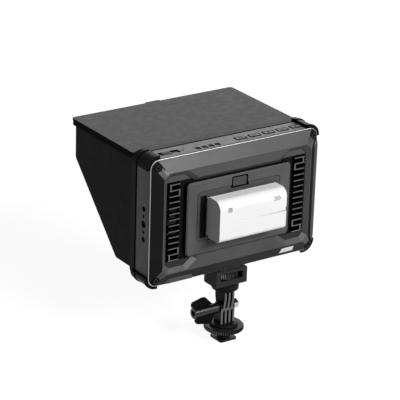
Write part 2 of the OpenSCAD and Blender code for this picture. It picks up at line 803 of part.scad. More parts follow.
module battery_deck() {
  color([0.28, 0.28, 0.28]) on_monitor() difference() {
    cut_slab(deck_w, deck_h, 4, floor_y, deck_y, 1.2);
    translate([plate_x, 0, plate_z])
      slab(plate_w + 2 * gap, plate_h + 2 * gap, 4, plate_y, deck_y + 1);
    translate([0, 0, release_z]) {
      slab(release_w + 2 * release_gap, release_h + 2 * release_gap, 1.6, floor_y - 1, deck_y + 1);
      box(-release_w / 2 - release_lip - gap, release_w / 2 + release_lip + gap,
          floor_y - 1, flange_y + gap, -release_h / 2 - release_gap, release_h / 2 + release_lip + gap);
    }
  }
}

// Inset plate that carries the battery, with four hooks and a deep recess beside it
module battery_plate() {
  recess_x0 = battery_x0 + battery_l + 0.4;
  ledge = battery_w / 2 - 2;
  color([0.16, 0.16, 0.16]) on_monitor() {
    difference() {
      translate([plate_x, 0, plate_z]) slab(plate_w, plate_h, 3.7, plate_y, plate_top);
      box(battery_x0 - 3.4, recess_x0 + battery_travel, seat_y, plate_top + 1,
          battery_z - battery_w / 2 - 0.8, battery_z + battery_w / 2 + 0.8);
      box(recess_x0, recess_x0 + battery_travel, plate_y + 0.6, seat_y + 1,
          battery_z - battery_w / 2 - 0.8, battery_z + battery_w / 2 + 0.8);
      box(-release_w / 2 - release_lip - 0.6, release_w / 2 + release_lip + 0.6, plate_y - 1,
          plate_top + 1, release_z - release_h / 2 - release_gap - gap, plate_z + plate_h);
    }
    for (m = [0, 1], x = [battery_x0 + 9, battery_x0 + 46])
      translate([x, 0, battery_z]) mirror([0, 0, m]) {
        box(0, hook_l, seat_y - eps, seat_y + 2.8, ledge + 0.4, ledge + 1.4);
        box(0, hook_l, seat_y + 1.9, seat_y + 2.8, ledge - 0.5, ledge + 1.4);
      }
  }
}

// Contact block at the end of the plate, with three blades
module battery_contacts() {
  color([0.8, 0.65, 0.3]) on_monitor() {
    box(battery_x0 - 3.2, battery_x0 - 0.4, seat_y, seat_y + 3.6, battery_z - 9, battery_z + 9);
    for (z = [-5.5, 0, 5.5])
      box(battery_x0 - 1, battery_x0 + 3.4, seat_y + 1, seat_y + 3.2,
          battery_z + z - 0.4, battery_z + z + 0.4);
  }
}

// Button with a flange that keeps it under the deck, hollow over its guide
module release_button() {
  y0 = floor_y + release_travel + 0.2;
  color([0.12, 0.12, 0.12]) on_monitor() translate([0, 0, release_z]) difference() {
    union() {
      slab(release_w, release_h, 1, y0, release_top);
      box(-release_w / 2 - release_lip, release_w / 2 + release_lip, y0, flange_y,
          -release_h / 2, release_h / 2 + release_lip);
    }
    rod_y(0, 0, guide_r + run, floor_y, release_top - 1.4);
  }
}

module release_guide() {
  color([0.12, 0.12, 0.12]) on_monitor() difference() {
    rod_y(0, release_z, guide_r, floor_y, release_top - 1.5 - release_travel);
    rod_y(0, release_z, guide_r - 1, floor_y + 0.8, release_top);
  }
}

// ---------- battery ----------

// Cross-section of the battery: two long outer edges are rounded, the top one more
module battery_outline(inset) {
  w = battery_w / 2 - inset;
  y0 = battery_y0 + base_t;
  y1 = battery_y1 - inset;
  r_top = battery_r - inset;
  r_low = battery_r / 2 - inset;
  intersection() {
    translate([y0, -w]) square([y1 - y0, 2 * w]);
    union() {
      translate([y0, -w]) square([y1 - r_top - y0, 2 * w]);
      translate([y0, -w + r_low]) square([y1 - y0, 2 * w - r_top - r_low]);
      translate([y0, -w]) square([y1 - r_low - y0, w]);
      translate([y1 - r_top, w - r_top]) circle(r_top);
      translate([y1 - r_low, -w + r_low]) circle(r_low);
    }
  }
}

module battery_shell() {
  x1 = battery_x0 + battery_l;
  groove_z = -1.5;
  groove_half = 0.45;
  color([0.93, 0.93, 0.93]) on_monitor() translate([0, 0, battery_z]) difference() {
    along_x(battery_x0, x1) battery_outline(0);
    along_x(battery_x0 + 1.2, x1 - 1.2) battery_outline(case_wall);
    box(battery_x0 + 1.2, x1 - 1.2, battery_y0 + base_t - 1, battery_y0 + base_t + 2,
        -battery_w / 2 + case_wall, battery_w / 2 - case_wall);
    // fine groove along the face and the finger notch at its end
    box(battery_x0 - 1, x1 - 16, battery_y1 - 0.35, battery_y1 + 1,
        groove_z - groove_half, groove_z + groove_half);
    box(battery_x0 - 1, battery_x0 + 0.8, battery_y1 - 6, battery_y1 + 1,
        groove_z + groove_half, groove_z + groove_half + 3.2);
  }
}

module battery_base() {
  x1 = battery_x0 + battery_l;
  y1 = battery_y0 + base_t;
  w = battery_w / 2;
  channel = seat_y + 3.2;
  color([0.85, 0.85, 0.85]) on_monitor() translate([0, 0, battery_z]) difference() {
    union() {
      box(battery_x0, x1, battery_y0, y1, -w, w);
      box(battery_x0 + 1.4, x1 - 1.4, y1 - 1, y1 + 1.6, -w + case_wall + 0.1, w - case_wall - 0.1);
    }
    // stepped tray for the cells
    box(battery_x0 + 2.4, x1 - 2.4, battery_y0 + 1.2, y1 + 2, -w + 3.8, w - 3.8);
    box(battery_x0 + 2.4, x1 - 2.4, channel + 1, y1 + 2, -w + 1.8, w - 1.8);
    // channels for the plate's hooks: an open step and a groove behind the ledge
    for (m = [0, 1]) mirror([0, 0, m]) {
      box(battery_x0 - 1, x1 + 1, battery_y0 - 1, channel, w - 1.8, w + 1);
      box(battery_x0 - 1, x1 + 1, seat_y + 1.6, channel, w - 2.9, w + 1);
    }
    // slots over the contact blades
    for (z = [-5.5, 0, 5.5])
      box(battery_x0 - 1, battery_x0 + 4, battery_y0 - 1, seat_y + 3.5, z - 0.8, z + 0.8);
  }
}

module battery_cells() {
  y = battery_y1 - case_wall - cell_r - slip;
  x0 = battery_x0 + (battery_l - cell_l) / 2;
  color([0.2, 0.45, 0.55]) on_monitor() for (s = [-1, 1])
    rod_x(y, battery_z + s * (cell_r + 0.05), cell_r, x0, x0 + cell_l);
}

module battery_board() {
  half = 4;
  x0 = battery_x0 + 5;
  color([0.05, 0.25, 0.12]) on_monitor()
    box(x0, x0 + 55, battery_y0 + 1.2, battery_y0 + 2.2, battery_z - half, battery_z + half);
}

// ---------- sun hood ----------

// Clips that grip the four corners of the side frame
module corner_clips() {
  fit = 0.15;
  y0 = hood_y1 - 3;
  y1 = -1.4;
  reach_x = body_w / 2 - corner_r - 2;
  reach_z = body_h / 2 - corner_r - 0.5;
  intersection() {
    difference() {
      union() {
        slab(body_w + 2 * clip_t, body_h + 2 * clip_t, corner_r + clip_t, y0, y1);
        slab(body_w + 2 * clip_t + 1.4, body_h + 2 * clip_t + 1.4, corner_r + clip_t + 0.7, y1 - 2, y1);
        slab(body_w + 2 * clip_t + 1.4, body_h + 2 * clip_t + 1.4, corner_r + clip_t + 0.7,
             front_y - 1.2, front_y + 1);
      }
      slab(body_w + 2 * fit, body_h + 2 * fit, corner_r + fit, hood_y1, y1 + 1);
    }
    for (mx = [0, 1], mz = [0, 1]) mirror([mx, 0, 0]) mirror([0, 0, mz])
      box(reach_x, body_w, y0 - 1, y1 + 1, reach_z, body_h);
  }
}

// Ear of the hood frame around a pin along X
module roof_lug(x) {
  box(x - lug_t / 2, x + lug_t / 2, barrel_y, hood_y0 + 1, barrel_z - barrel_r, barrel_z + barrel_r);
  rod_x(barrel_y, barrel_z, barrel_r, x - lug_t / 2, x + lug_t / 2);
}

// Ear of the hood frame around a pin along Z
module flap_lug(x, y, z) {
  box(x - barrel_r, x + barrel_r, y, hood_y0 + 1, z - lug_t / 2, z + lug_t / 2);
  rod_z(x, y, barrel_r, z - lug_t / 2, z + lug_t / 2);
}

function roof_lug_x() = [-lug_x, lug_x];
function flap_lug_z() = [-body_h / 2 + 11.6, body_h / 2 - 11.6];
function flap_pin_y(side) = side > 0 ? flap_axis_y : flap_axis_y - flap_stack;

module hood_frame() {
  color([0.2, 0.2, 0.2]) on_monitor() difference() {
    union() {
      difference() {
        slab(body_w, body_h - 0.6, corner_r, hood_y0, hood_y1);
        slab(body_w - 2 * hood_bar - 2, body_h - 2 * hood_bar, 3, hood_y0 - 1, hood_y1 + 1);
      }
      corner_clips();
      for (x = roof_lug_x()) roof_lug(x);
      for (s = [-1, 1], z = flap_lug_z()) flap_lug(s * flap_axis_x, flap_pin_y(s), z);
    }
    rod_x(barrel_y, barrel_z, hood_pin_r + 0.02, -body_w, body_w);
    for (s = [-1, 1])
      rod_z(s * flap_axis_x, flap_pin_y(s), hood_pin_r + 0.02, -body_h / 2 + 9.5, body_h / 2 - 9.5);
  }
}

module hood_roof() {
  y0 = barrel_y - roof_l;
  half = roof_w / 2;
  color([0.3, 0.3, 0.3]) on_monitor() difference() {
    union() {
      // panel with round front corners
      translate([0, 0, roof_z - hood_t]) linear_extrude(hood_t) {
        translate([-half + 3, y0]) square([roof_w - 6, 10]);
        translate([-half, y0 + 3]) square([roof_w, roof_l - 3 - barrel_r]);
        for (s = [-1, 1]) translate([s * (half - 3), y0 + 3]) circle(3);
        translate([-half, barrel_y - barrel_r - 1]) square([roof_w, barrel_r + 1]);
        // pull tab on the front edge
        translate([-7.5, y0 - 2]) square([15, 4]);
      }
      rod_x(barrel_y, barrel_z, barrel_r, -half, half);
      for (s = [-1, 1])
        box(s > 0 ? half - skirt_t : -half, s > 0 ? half : -half + skirt_t, y0 + 3,
            barrel_y - barrel_r - 0.5, roof_z - skirt_h, roof_z - 0.2);
      box(-half + 3, half - 3, y0, y0 + 1.2, roof_z - 2.6, roof_z - 0.2);
    }
    rod_x(barrel_y, barrel_z, hood_pin_r + run, -body_w, body_w);
    for (x = roof_lug_x())
      box(x - lug_t / 2 - gap, x + lug_t / 2 + gap, barrel_y - barrel_r - gap, barrel_y + barrel_r + 1,
          barrel_z - barrel_r - gap, roof_z + 1);
  }
}

// One side flap at its own hinge, drawn for the left side
module flap(axis_y) {
  y_top = barrel_y - flap_top_l;
  y_bottom = barrel_y - flap_bottom_l;
  z_front = flap_top_z - flap_front_h;
  r = 4;
  lug_low = flap_lug_z()[0] + lug_t / 2 + gap;
  lug_high = flap_lug_z()[1] - lug_t / 2 - gap;
  y_rear = axis_y - barrel_r - gap;
  difference() {
    union() {
      along_x(flap_x - hood_t, flap_x) hull() {
        translate([y_top + r, z_front + r * 0.5]) circle(r, $fn = 32);
        translate([y_bottom + r, flap_bottom_z + r]) circle(r, $fn = 32);
        translate([y_top, flap_top_z - 1]) square([1, 1]);
        translate([y_rear - 1, flap_bottom_z]) square([1, 1]);
        translate([y_rear - 1, flap_top_z - 1]) square([1, 1]);
      }
      // barrels between the frame's lugs and past them
      for (z = [[flap_bottom_z, lug_low - lug_t - 2 * gap], [lug_low, lug_high],
                [lug_high + lug_t + 2 * gap, flap_top_z]]) {
        box(flap_axis_x, flap_x, axis_y - barrel_r - 1, axis_y, z[0], z[1]);
        rod_z(flap_axis_x, axis_y, barrel_r, z[0], z[1]);
      }
    }
    rod_z(flap_axis_x, axis_y, hood_pin_r + run, lug_low - 1, lug_high + 1);
  }
}

module hood_flap_left() {
  color([0.1, 0.1, 0.1]) on_monitor() flap(flap_pin_y(1));
}

module hood_flap_right() {
  color([0.1, 0.1, 0.1]) on_monitor() mirror([1, 0, 0]) flap(flap_pin_y(-1));
}

module roof_hinge_pin() {
  reach = roof_w / 2 - 1;
  color([0.75, 0.75, 0.76]) on_monitor() rod_x(barrel_y, barrel_z, hood_pin_r, -reach, reach);
}

module flap_hinge_pins() {
  reach = flap_lug_z()[1] + lug_t / 2 - 0.2;
  color([0.75, 0.75, 0.76]) on_monitor() for (s = [-1, 1])
    rod_z(s * flap_axis_x, flap_pin_y(s), hood_pin_r, -reach, reach);
}

// ---------- shoe mount ----------

module mount_pad() {
  color([0.05, 0.05, 0.05]) difference() {
    tile(block_w - 3, 2 * block_y1 - 2, 6, pad_z, pad_z + pad_t);
    rod_z(0, 0, screw_r + 0.6, pad_z - 1, pad_z + pad_t + 1);
  }
}

// Block with a flat rear face, round front corners and a window over the thumb wheel
module mount_block() {
  y1 = block_y1;
  y0 = y1 - block_d;
  r = 9;
  window = thumb_r + 2 * wheel_gap;
  color([0.22, 0.22, 0.22]) difference() {
    translate([0, 0, block_z]) linear_extrude(block_h) {
      translate([-block_w / 2, y0 + r]) square([block_w, block_d - r]);
      translate([-block_w / 2 + r, y0]) square([block_w - 2 * r, block_d]);
      for (s = [-1, 1]) translate([s * (block_w / 2 - r), y0 + r]) circle(r);
    }
    rod_z(0, 0, window, wheel_z - wheel_gap, wheel_z + thumb_t + wheel_gap);
    box(-window, window, 0, y1 + 1, wheel_z - wheel_gap, wheel_z + thumb_t + wheel_gap);
    rod_z(0, 0, screw_r + 0.3, wheel_z - 3, pad_z + 1);
  }
}

module thumb_wheel() {
  color([0.15, 0.15, 0.15]) difference() {
    union() {
      translate([0, 0, wheel_z + 0.4]) linear_extrude(thumb_t - 0.8) knurl(thumb_r, 42, 0.8);
      rod_z(0, 0, thumb_r - 1, wheel_z, wheel_z + thumb_t);
    }
    rod_z(0, 0, screw_r + 0.02, wheel_z - 1, wheel_z + thumb_t + 1);
  }
}

module mount_screw() {
  color([0.7, 0.7, 0.72]) rod_z(0, 0, screw_r, wheel_z - 2, pad_z + pad_t + 9);
}

// Finger of a fork: a round end at the pivot and a straight root
module finger_outline(r, root_half, root_z, end_z) {
  circle(r);
  polygon([[-r, 0], [r, 0], [root_half, root_z], [root_half, end_z],
           [-root_half, end_z], [-root_half, root_z]]);
}

module upper_fork() {
  root = 7.8;
  color([0.1, 0.1, 0.1]) difference() {
    union() {
      rotate_extrude() polygon([[0, disc_z], [disc_r - 2, disc_z], [disc_r, disc_z + 1.4],
        [disc_r, disc_z + disc_t - 0.6], [disc_r - 0.6, disc_z + disc_t],
        [disc_r - 1.2, disc_z + disc_t], [disc_r - 1.2, block_z], [0, block_z]]);
      for (i = [0 : upper_count - 1]) {
        x = (i - (upper_count - 1) / 2) * finger_pitch;
        translate([0, 0, pivot_z]) along_x(x - finger_t / 2, x + finger_t / 2)
          finger_outline(finger_r, root, 9.5, disc_rise + 1);
      }
    }
    rod_x(0, pivot_z, bolt_r + run, -30, 30);
  }
}

module lower_fork() {
  base_h = 2.8;
  r = fork_base_r;
  color([0.1, 0.1, 0.1]) difference() {
    union() {
      rotate_extrude() polygon([[0, fork_z], [r - 0.6, fork_z], [r, fork_z + 0.6],
        [r, fork_z + base_h - 1.2], [r - 0.8, fork_z + base_h - 0.3],
        [r - 2.2, fork_z + base_h], [0, fork_z + base_h]]);
      for (i = [0 : lower_count - 1]) {
        x = (i - (lower_count - 1) / 2) * finger_pitch;
        translate([0, 0, pivot_z]) along_x(x - finger_t / 2, x + finger_t / 2)
          finger_outline(finger_r, finger_r, -1, -pivot_rise + 1);
      }
      // round cheek under the knob
      rod_x(0, pivot_z, hub_r - 0.6, lower_w / 2 - 0.5, lower_w / 2 + 0.1);
    }
    rod_x(0, pivot_z, bolt_r + run, -30, 30);
    rod_z(0, 0, stem_r + 0.02, fork_z - 1, fork_z + base_h - 0.5);
  }
}

module pivot_bolt() {
  color([0.7, 0.7, 0.72]) rod_x(0, pivot_z, bolt_r, -lower_w / 2 - 4.6, knob_x + hub_l - 8);
}

module wing_knob() {
  x1 = knob_x + hub_l;
  lean = -28;
  color([0.06, 0.06, 0.06]) difference() {
    union() {
      rod_x(0, pivot_z, hub_r, knob_x + 1.6, x1 + 1.4);
      rod_x(0, pivot_z, hub_r - 0.8, knob_x, knob_x + 1.7);
      translate([0, 0, pivot_z]) rotate([-lean, 0, 0]) for (s = [0, 180]) rotate([s, 0, 0])
        translate([0, 1.6, 0]) rotate([90, 0, 0]) linear_extrude(3.2) hull() {
          translate([knob_x + 3, 1]) square([1, 1]);
          translate([knob_x + 13, wing_reach - 3.5]) circle(3.5, $fn = 32);
          translate([x1 - 2.6, wing_reach - 5.6]) circle(3.8, $fn = 32);
          translate([x1 - 1, 1]) square([1, 1]);
        }
    }
    rod_x(0, pivot_z, bolt_r + 0.02, knob_x - 1, knob_x + hub_l - 8 + 0.1);
    rod_x(0, pivot_z, 2.7, x1 - 2.2, x1 + 3);
  }
}

// Domed nut
module pivot_nut() {
  nut_h = 5.2;
  x0 = -lower_w / 2;
  color([0.8, 0.8, 0.82]) difference() {
    union() {
      translate([x0, 0, pivot_z]) rotate([0, -90, 0]) cylinder(r = 4.8, h = nut_h, $fn = 6);
      intersection() {
        translate([x0 - nut_h + 1.6, 0, pivot_z]) sphere(r = 4.3);
        rod_x(0, pivot_z, 5, x0 - nut_h - 4, x0 - nut_h + 0.5);
      }
    }
    rod_x(0, pivot_z, bolt_r + run, x0 - 4.8, x0 + 1);
  }
}

module lock_wheel() {
  color([0.12, 0.12, 0.12]) difference() {
    union() {
      translate([0, 0, lock_z + 0.5]) linear_extrude(lock_t - 1.3) knurl(lock_r, 54, 0.8);
      rod_z(0, 0, lock_r - 1, lock_z, lock_z + lock_t);
    }
    rod_z(0, 0, stem_r + run, lock_z - 1, lock_z + lock_t + 1);
  }
}

module clamp_washer() {
  color([0.08, 0.08, 0.08]) difference() {
    rod_z(0, 0, stem_r + 4, washer_z, washer_z + washer_t);
    rod_z(0, 0, stem_r + run, washer_z - 1, washer_z + washer_t + 1);
  }
}

module shoe_foot() {
  h = foot_w / 2;
  c = 1.6;
  neck_top = washer_z - clamp_travel - slip;
  color([0.15, 0.15, 0.15]) {
    linear_extrude(foot_t) polygon([[-h + c, -h], [h - c, -h], [h, -h + c], [h, h - c],
      [h - c, h], [-h + c, h], [-h, h - c], [-h, -h + c]]);
    rod_z(0, 0, 6, foot_t - 0.1, neck_top);
    rod_z(0, 0, stem_r, foot_t - 0.1, fork_z + 2.2);
  }
}

mid_frame();
rear_cover();
battery_deck();
battery_plate();
battery_contacts();
vent_grille_left();
vent_grille_right();
cover_screws();
label_plate();
front_bezel();
cover_glass();
lcd_panel();
backlight_tray();
main_board();
heat_sink();
fan_housing();
fan_rotor();
button_board();
function_button(0);  // function_button_1
function_button(1);  // function_button_2
function_button(2);  // function_button_3
function_button(3);  // function_button_4
function_button(4);  // function_button_5
power_switch();
switch_body();
indicator_lenses();
release_button();
release_guide();
thread_inserts();
hdmi_ports();
usb_port();
dc_jack();
headphone_jack();
hood_frame();
hood_roof();
hood_flap_left();
hood_flap_right();
roof_hinge_pin();
flap_hinge_pins();
battery_shell();
battery_base();
battery_cells();
battery_board();
mount_pad();
mount_block();
thumb_wheel();
mount_screw();
upper_fork();
lower_fork();
pivot_bolt();
wing_knob();
pivot_nut();
lock_wheel();
clamp_washer();
shoe_foot();
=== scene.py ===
import math

import bmesh
import bpy
from mathutils import Matrix, Vector


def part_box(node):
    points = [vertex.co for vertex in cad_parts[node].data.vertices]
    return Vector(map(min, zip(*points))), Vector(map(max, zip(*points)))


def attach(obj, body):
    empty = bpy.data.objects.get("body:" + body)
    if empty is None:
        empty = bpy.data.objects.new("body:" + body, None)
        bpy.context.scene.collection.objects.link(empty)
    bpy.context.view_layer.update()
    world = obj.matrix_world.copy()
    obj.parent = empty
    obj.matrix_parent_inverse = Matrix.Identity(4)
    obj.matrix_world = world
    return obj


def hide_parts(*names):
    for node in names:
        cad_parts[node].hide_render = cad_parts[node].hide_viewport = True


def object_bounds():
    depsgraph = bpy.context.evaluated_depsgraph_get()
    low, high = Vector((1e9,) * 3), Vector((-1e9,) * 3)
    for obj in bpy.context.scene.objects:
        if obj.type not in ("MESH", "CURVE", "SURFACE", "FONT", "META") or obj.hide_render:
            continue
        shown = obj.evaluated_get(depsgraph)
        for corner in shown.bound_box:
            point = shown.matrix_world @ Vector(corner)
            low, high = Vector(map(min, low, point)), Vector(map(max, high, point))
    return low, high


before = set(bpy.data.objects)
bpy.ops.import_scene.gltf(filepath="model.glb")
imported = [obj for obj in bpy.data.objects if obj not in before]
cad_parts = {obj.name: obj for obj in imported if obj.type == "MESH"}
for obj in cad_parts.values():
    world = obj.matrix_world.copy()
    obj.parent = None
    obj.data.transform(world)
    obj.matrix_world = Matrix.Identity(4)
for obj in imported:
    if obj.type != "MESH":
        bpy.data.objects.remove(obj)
cad_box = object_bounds()
mm = 0.001

# ---------------------------------------------------------------- the view
# The camera stands behind the monitor, to its left and above it, with a long lens and a slight
# roll, as in the photograph. Sizes are in metres from the middle of the shoe foot's underside.
camera_place = Vector((1.0081, 1.4076, 0.8331))
azimuth = math.radians(145.23)
elevation = math.radians(21.96)
roll = math.radians(1.86)
back = Vector((math.sin(azimuth) * math.cos(elevation),
               -math.cos(azimuth) * math.cos(elevation), math.sin(elevation)))
level = Vector((0, 0, 1)).cross(back).normalized()
rise = back.cross(level)
right = level * math.cos(roll) + rise * math.sin(roll)
up = rise * math.cos(roll) - level * math.sin(roll)
view = bpy.data.cameras.new("view")
view.sensor_width = 36
view.lens = 187.95
view.clip_start = 0.05
view.clip_end = 60
camera = bpy.data.objects.new("camera", view)
camera.matrix_world = Matrix.Translation(camera_place) @ Matrix(
    (right, up, back)).transposed().to_4x4()
bpy.context.scene.collection.objects.link(camera)
bpy.context.scene.camera = camera
bpy.context.scene.view_settings.view_transform = "Standard"

# ---------------------------------------------------------------- the studio
# A pale paper floor that runs out of sight and shows white to the camera, as the photograph's
# ground does. It keeps a soft shadow, because only part of its brightness is its own.
floor_reach = 20
paper_grey = 0.24
paper_own_light = 0.91
floor_mesh = bmesh.new()
bmesh.ops.create_grid(floor_mesh, x_segments=1, y_segments=1, size=floor_reach)
floor_data = bpy.data.meshes.new("floor")
floor_mesh.to_mesh(floor_data)
floor_mesh.free()
floor = bpy.data.objects.new("floor", floor_data)
bpy.context.scene.collection.objects.link(floor)


def seen_directly(tree):
    """1 for what the camera, a reflection or a glass sees, 0 for the light on the object."""
    path = tree.nodes.new("ShaderNodeLightPath")
    seen = path.outputs["Is Camera Ray"]
    for ray in ("Is Glossy Ray", "Is Transmission Ray"):
        either = tree.nodes.new("ShaderNodeMath")
        either.operation = "MAXIMUM"
        tree.links.new(seen, either.inputs[0])
        tree.links.new(path.outputs[ray], either.inputs[1])
        seen = either.outputs[0]
    return seen


paper = bpy.data.materials.new("studio_paper")
paper.use_nodes = True
paper_nodes = paper.node_tree.nodes
paper_shader = paper_nodes["Principled BSDF"]
paper_shader.inputs["Base Color"].default_value = (paper_grey, paper_grey, paper_grey, 1)
paper_shader.inputs["Roughness"].default_value = 0.9
paper_shader.inputs["Specular IOR Level"].default_value = 0.0
paper_glow = paper_nodes.new("ShaderNodeMath")
paper_glow.operation = "MULTIPLY"
paper_glow.inputs[1].default_value = paper_own_light
paper.node_tree.links.new(seen_directly(paper.node_tree), paper_glow.inputs[0])
paper_shader.inputs["Emission Color"].default_value = (1, 1, 1, 1)
paper.node_tree.links.new(paper_glow.outputs[0], paper_shader.inputs["Emission Strength"])
floor_data.materials.append(paper)

# An even grey room, white where it is seen, and two soft boxes: the key stands where the left
# half of the cover's upper slope mirrors it, and a weak one lights the screen side.
room = bpy.data.worlds.new("room")
bpy.context.scene.world = room
room.use_nodes = True
room_nodes = room.node_tree.nodes
room_light = room_nodes["Background"]
room_light.inputs["Color"].default_value = (1, 1, 1, 1)
room_strength = room_nodes.new("ShaderNodeMapRange")
room_strength.inputs["To Min"].default_value = 0.10
room_strength.inputs["To Max"].default_value = 1.0
room.node_tree.links.new(seen_directly(room.node_tree), room_strength.inputs["Value"])
room.node_tree.links.new(room_strength.outputs["Result"], room_light.inputs["Strength"])


def soft_box(name, direction, distance, width, height, power):
    """A level rectangular lamp that faces the middle of the monitor from that direction."""
    lamp = bpy.data.lights.new(name, "AREA")
    lamp.shape = "RECTANGLE"
    lamp.size = width
    lamp.size_y = height
    lamp.energy = power
    holder = bpy.data.objects.new(name, lamp)
    towards = Vector(direction).normalized()
    middle = (Vector(cad_box[0]) + Vector(cad_box[1])) / 2
    holder.matrix_world = Matrix.Translation(middle + towards * distance) @ towards.to_track_quat(
        "Z", "Y").to_matrix().to_4x4()
    bpy.context.scene.collection.objects.link(holder)


soft_box("key_box", direction=(-0.21, 0.80, 0.53), distance=2.2, width=1.3, height=0.7, power=56)
soft_box("far_box", direction=(-0.53, -0.76, 0.40), distance=4.0, width=2.4, height=2.4, power=25)

# ---------------------------------------------------------------- the side frame
# A milled aluminium frame, blasted and black anodised, with a bright line cut round its rear edge
# afterwards. Its screw posts, hangers and windows are milled too, so the node's shape is kept.


def merged_copy(node):
    """A bmesh copy of a node with its loose triangles joined and its flat faces whole."""
    weld = 0.002 * mm
    level_within = math.radians(0.6)
    shape = bmesh.new()
    shape.from_mesh(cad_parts[node].data)
    bmesh.ops.remove_doubles(shape, verts=shape.verts, dist=weld)
    bmesh.ops.dissolve_limit(shape, angle_limit=level_within, verts=shape.verts,
                             edges=shape.edges)
    shape.normal_update()
    return shape


def split_across(shape, place, direction):
    """Cuts the faces at a plane, so that each side of it can have its own finish."""
    bmesh.ops.bisect_plane(shape, geom=shape.verts[:] + shape.edges[:] + shape.faces[:],
                           dist=0.0001 * mm, plane_co=place, plane_no=direction)


def break_edges(shape, width, segments=2, angle=32, shortest=0.0):
    """Rounds the edges that are sharper than the angle, in degrees."""
    sharp = [e for e in shape.edges if len(e.link_faces) == 2
             and e.calc_face_angle() > math.radians(angle) and e.calc_length() > shortest]
    bmesh.ops.bevel(shape, geom=sharp, offset=width, offset_type="OFFSET", segments=segments,
                    profile=0.5, affect="EDGES", clamp_overlap=True, material=-1)


def painted(shape, finishes, finish_of):
    """Gives each face the finish that finish_of picks for it from the piece's list."""
    for face in shape.faces:
        face.material_index = finishes.index(finish_of(face))


def two_toned(shape, takes_second):
    """Gives the faces that takes_second picks the second of the piece's two finishes."""
    for face in shape.faces:
        face.material_index = 1 if takes_second(face) else 0


def finished(shape, name, body, finishes, stands_for=None, smooth=34):
    """Makes the piece's object, rides it on its body and lets it stand for its node."""
    data = bpy.data.meshes.new(name)
    shape.to_mesh(data)
    shape.free()
    for material in finishes:
        data.materials.append(material)
    data.shade_smooth()
    data.set_sharp_from_angle(angle=math.radians(smooth))
    piece = bpy.data.objects.new(name, data)
    bpy.context.scene.collection.objects.link(piece)
    flat = piece.modifiers.new("flat_faces", "WEIGHTED_NORMAL")
    flat.keep_sharp = True
    flat.weight = 90
    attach(piece, body)
    if stands_for:
        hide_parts(stands_for)


def finish(name, colour, roughness, metallic=0.0, specular=0.5):
    """A new material and its main shader."""
    material = bpy.data.materials.new(name)
    material.use_nodes = True
    shader = material.node_tree.nodes["Principled BSDF"]
    shader.inputs["Base Color"].default_value = (*colour, 1)
    shader.inputs["Roughness"].default_value = roughness
    shader.inputs["Metallic"].default_value = metallic
    shader.inputs["Specular IOR Level"].default_value = specular
    return material, shader


def mottle(material, size, detail=3.0, stretch=(1, 1, 1)):
    """Noise on the object's own coordinates, with cells of that size in metres."""
    nodes = material.node_tree.nodes
    place = nodes.new("ShaderNodeTexCoord")
    turn = nodes.new("ShaderNodeMapping")
    turn.inputs["Scale"].default_value = stretch
    noise = nodes.new("ShaderNodeTexNoise")
    noise.inputs["Scale"].default_value = 1 / size
    noise.inputs["Detail"].default_value = detail
    material.node_tree.links.new(place.outputs["Object"], turn.inputs["Vector"])
    material.node_tree.links.new(turn.outputs["Vector"], noise.inputs["Vector"])
    return noise.outputs["Fac"]


def shade_between(material, shader, source, low, high, start=0.3, end=0.7):
    """Drives the base colour between two colours."""
    ramp = material.node_tree.nodes.new("ShaderNodeValToRGB")
    ramp.color_ramp.elements[0].position = start
    ramp.color_ramp.elements[1].position = end
    ramp.color_ramp.elements[0].color = (*low, 1)
    ramp.color_ramp.elements[1].color = (*high, 1)
    material.node_tree.links.new(source, ramp.inputs["Fac"])
    material.node_tree.links.new(ramp.outputs["Color"], shader.inputs["Base Color"])


def wear_roughness(material, shader, source, low, high):
    """Drives the roughness between two values."""
    span = material.node_tree.nodes.new("ShaderNodeMapRange")
    span.inputs["From Min"].default_value = 0.3
    span.inputs["From Max"].default_value = 0.7
    span.inputs["To Min"].default_value = low
    span.inputs["To Max"].default_value = high
    material.node_tree.links.new(source, span.inputs["Value"])
    material.node_tree.links.new(span.outputs["Result"], shader.inputs["Roughness"])


def raise_grain(material, shader, source, depth, strength=0.6):
    """Turns a pattern into fine relief of that depth in metres."""
    relief = material.node_tree.nodes.new("ShaderNodeBump")
    relief.inputs["Strength"].default_value = strength
    relief.inputs["Distance"].default_value = depth
    material.node_tree.links.new(source, relief.inputs["Height"])
    material.node_tree.links.new(relief.outputs["Normal"], shader.inputs["Normal"])


def grained(name, colour, roughness, grain=0.25 * mm, depth=0.01 * mm, metallic=0.0,
            specular=0.5, cloud=0.12):
    """A finish with a fine grain, a faint cloudiness and uneven gloss."""
    cloud_size = 22 * mm
    gloss_size = 6 * mm
    gloss_wear = 0.04
    material, shader = finish(name, colour, roughness, metallic, specular)
    clouds = mottle(material, cloud_size, 4)
    low = [c * (1 - cloud) for c in colour]
    high = [min(1, c * (1 + cloud)) for c in colour]
    shade_between(material, shader, clouds, low, high)
    wear_roughness(material, shader, mottle(material, gloss_size, 3), roughness - gloss_wear,
                   roughness + gloss_wear)
    raise_grain(material, shader, mottle(material, grain, 2), depth)
    return material


def cut_metal(name, colour):
    """Bare aluminium as the cutter leaves it."""
    material, shader = finish(name, colour, 0.42, metallic=1.0)
    wear_roughness(material, shader, mottle(material, 0.3 * mm, 2), 0.36, 0.48)
    return material, shader


anodised = grained("black_anodised", (0.026, 0.026, 0.027), 0.36, 0.16 * mm, 0.006 * mm,
                   metallic=1.0)
cut_edge, cut_shader = cut_metal("bright_cut_edge", (0.36, 0.36, 0.37))
raise_grain(cut_edge, cut_shader, mottle(cut_edge, 0.08 * mm, 1), 0.002 * mm)
# the cut line where it looks down is a lighter copy of the cut metal, a painted highlight
underside_highlight = cut_metal("underside_painted_highlight", (0.50, 0.50, 0.51))[0]
# near black without sheen, painted as shade in the top wall's windows and the screws' sockets
painted_shade_black = grained("painted_shade_black", (0.003, 0.003, 0.003), 0.6, 0.3 * mm, 0.004 * mm, specular=0.0)

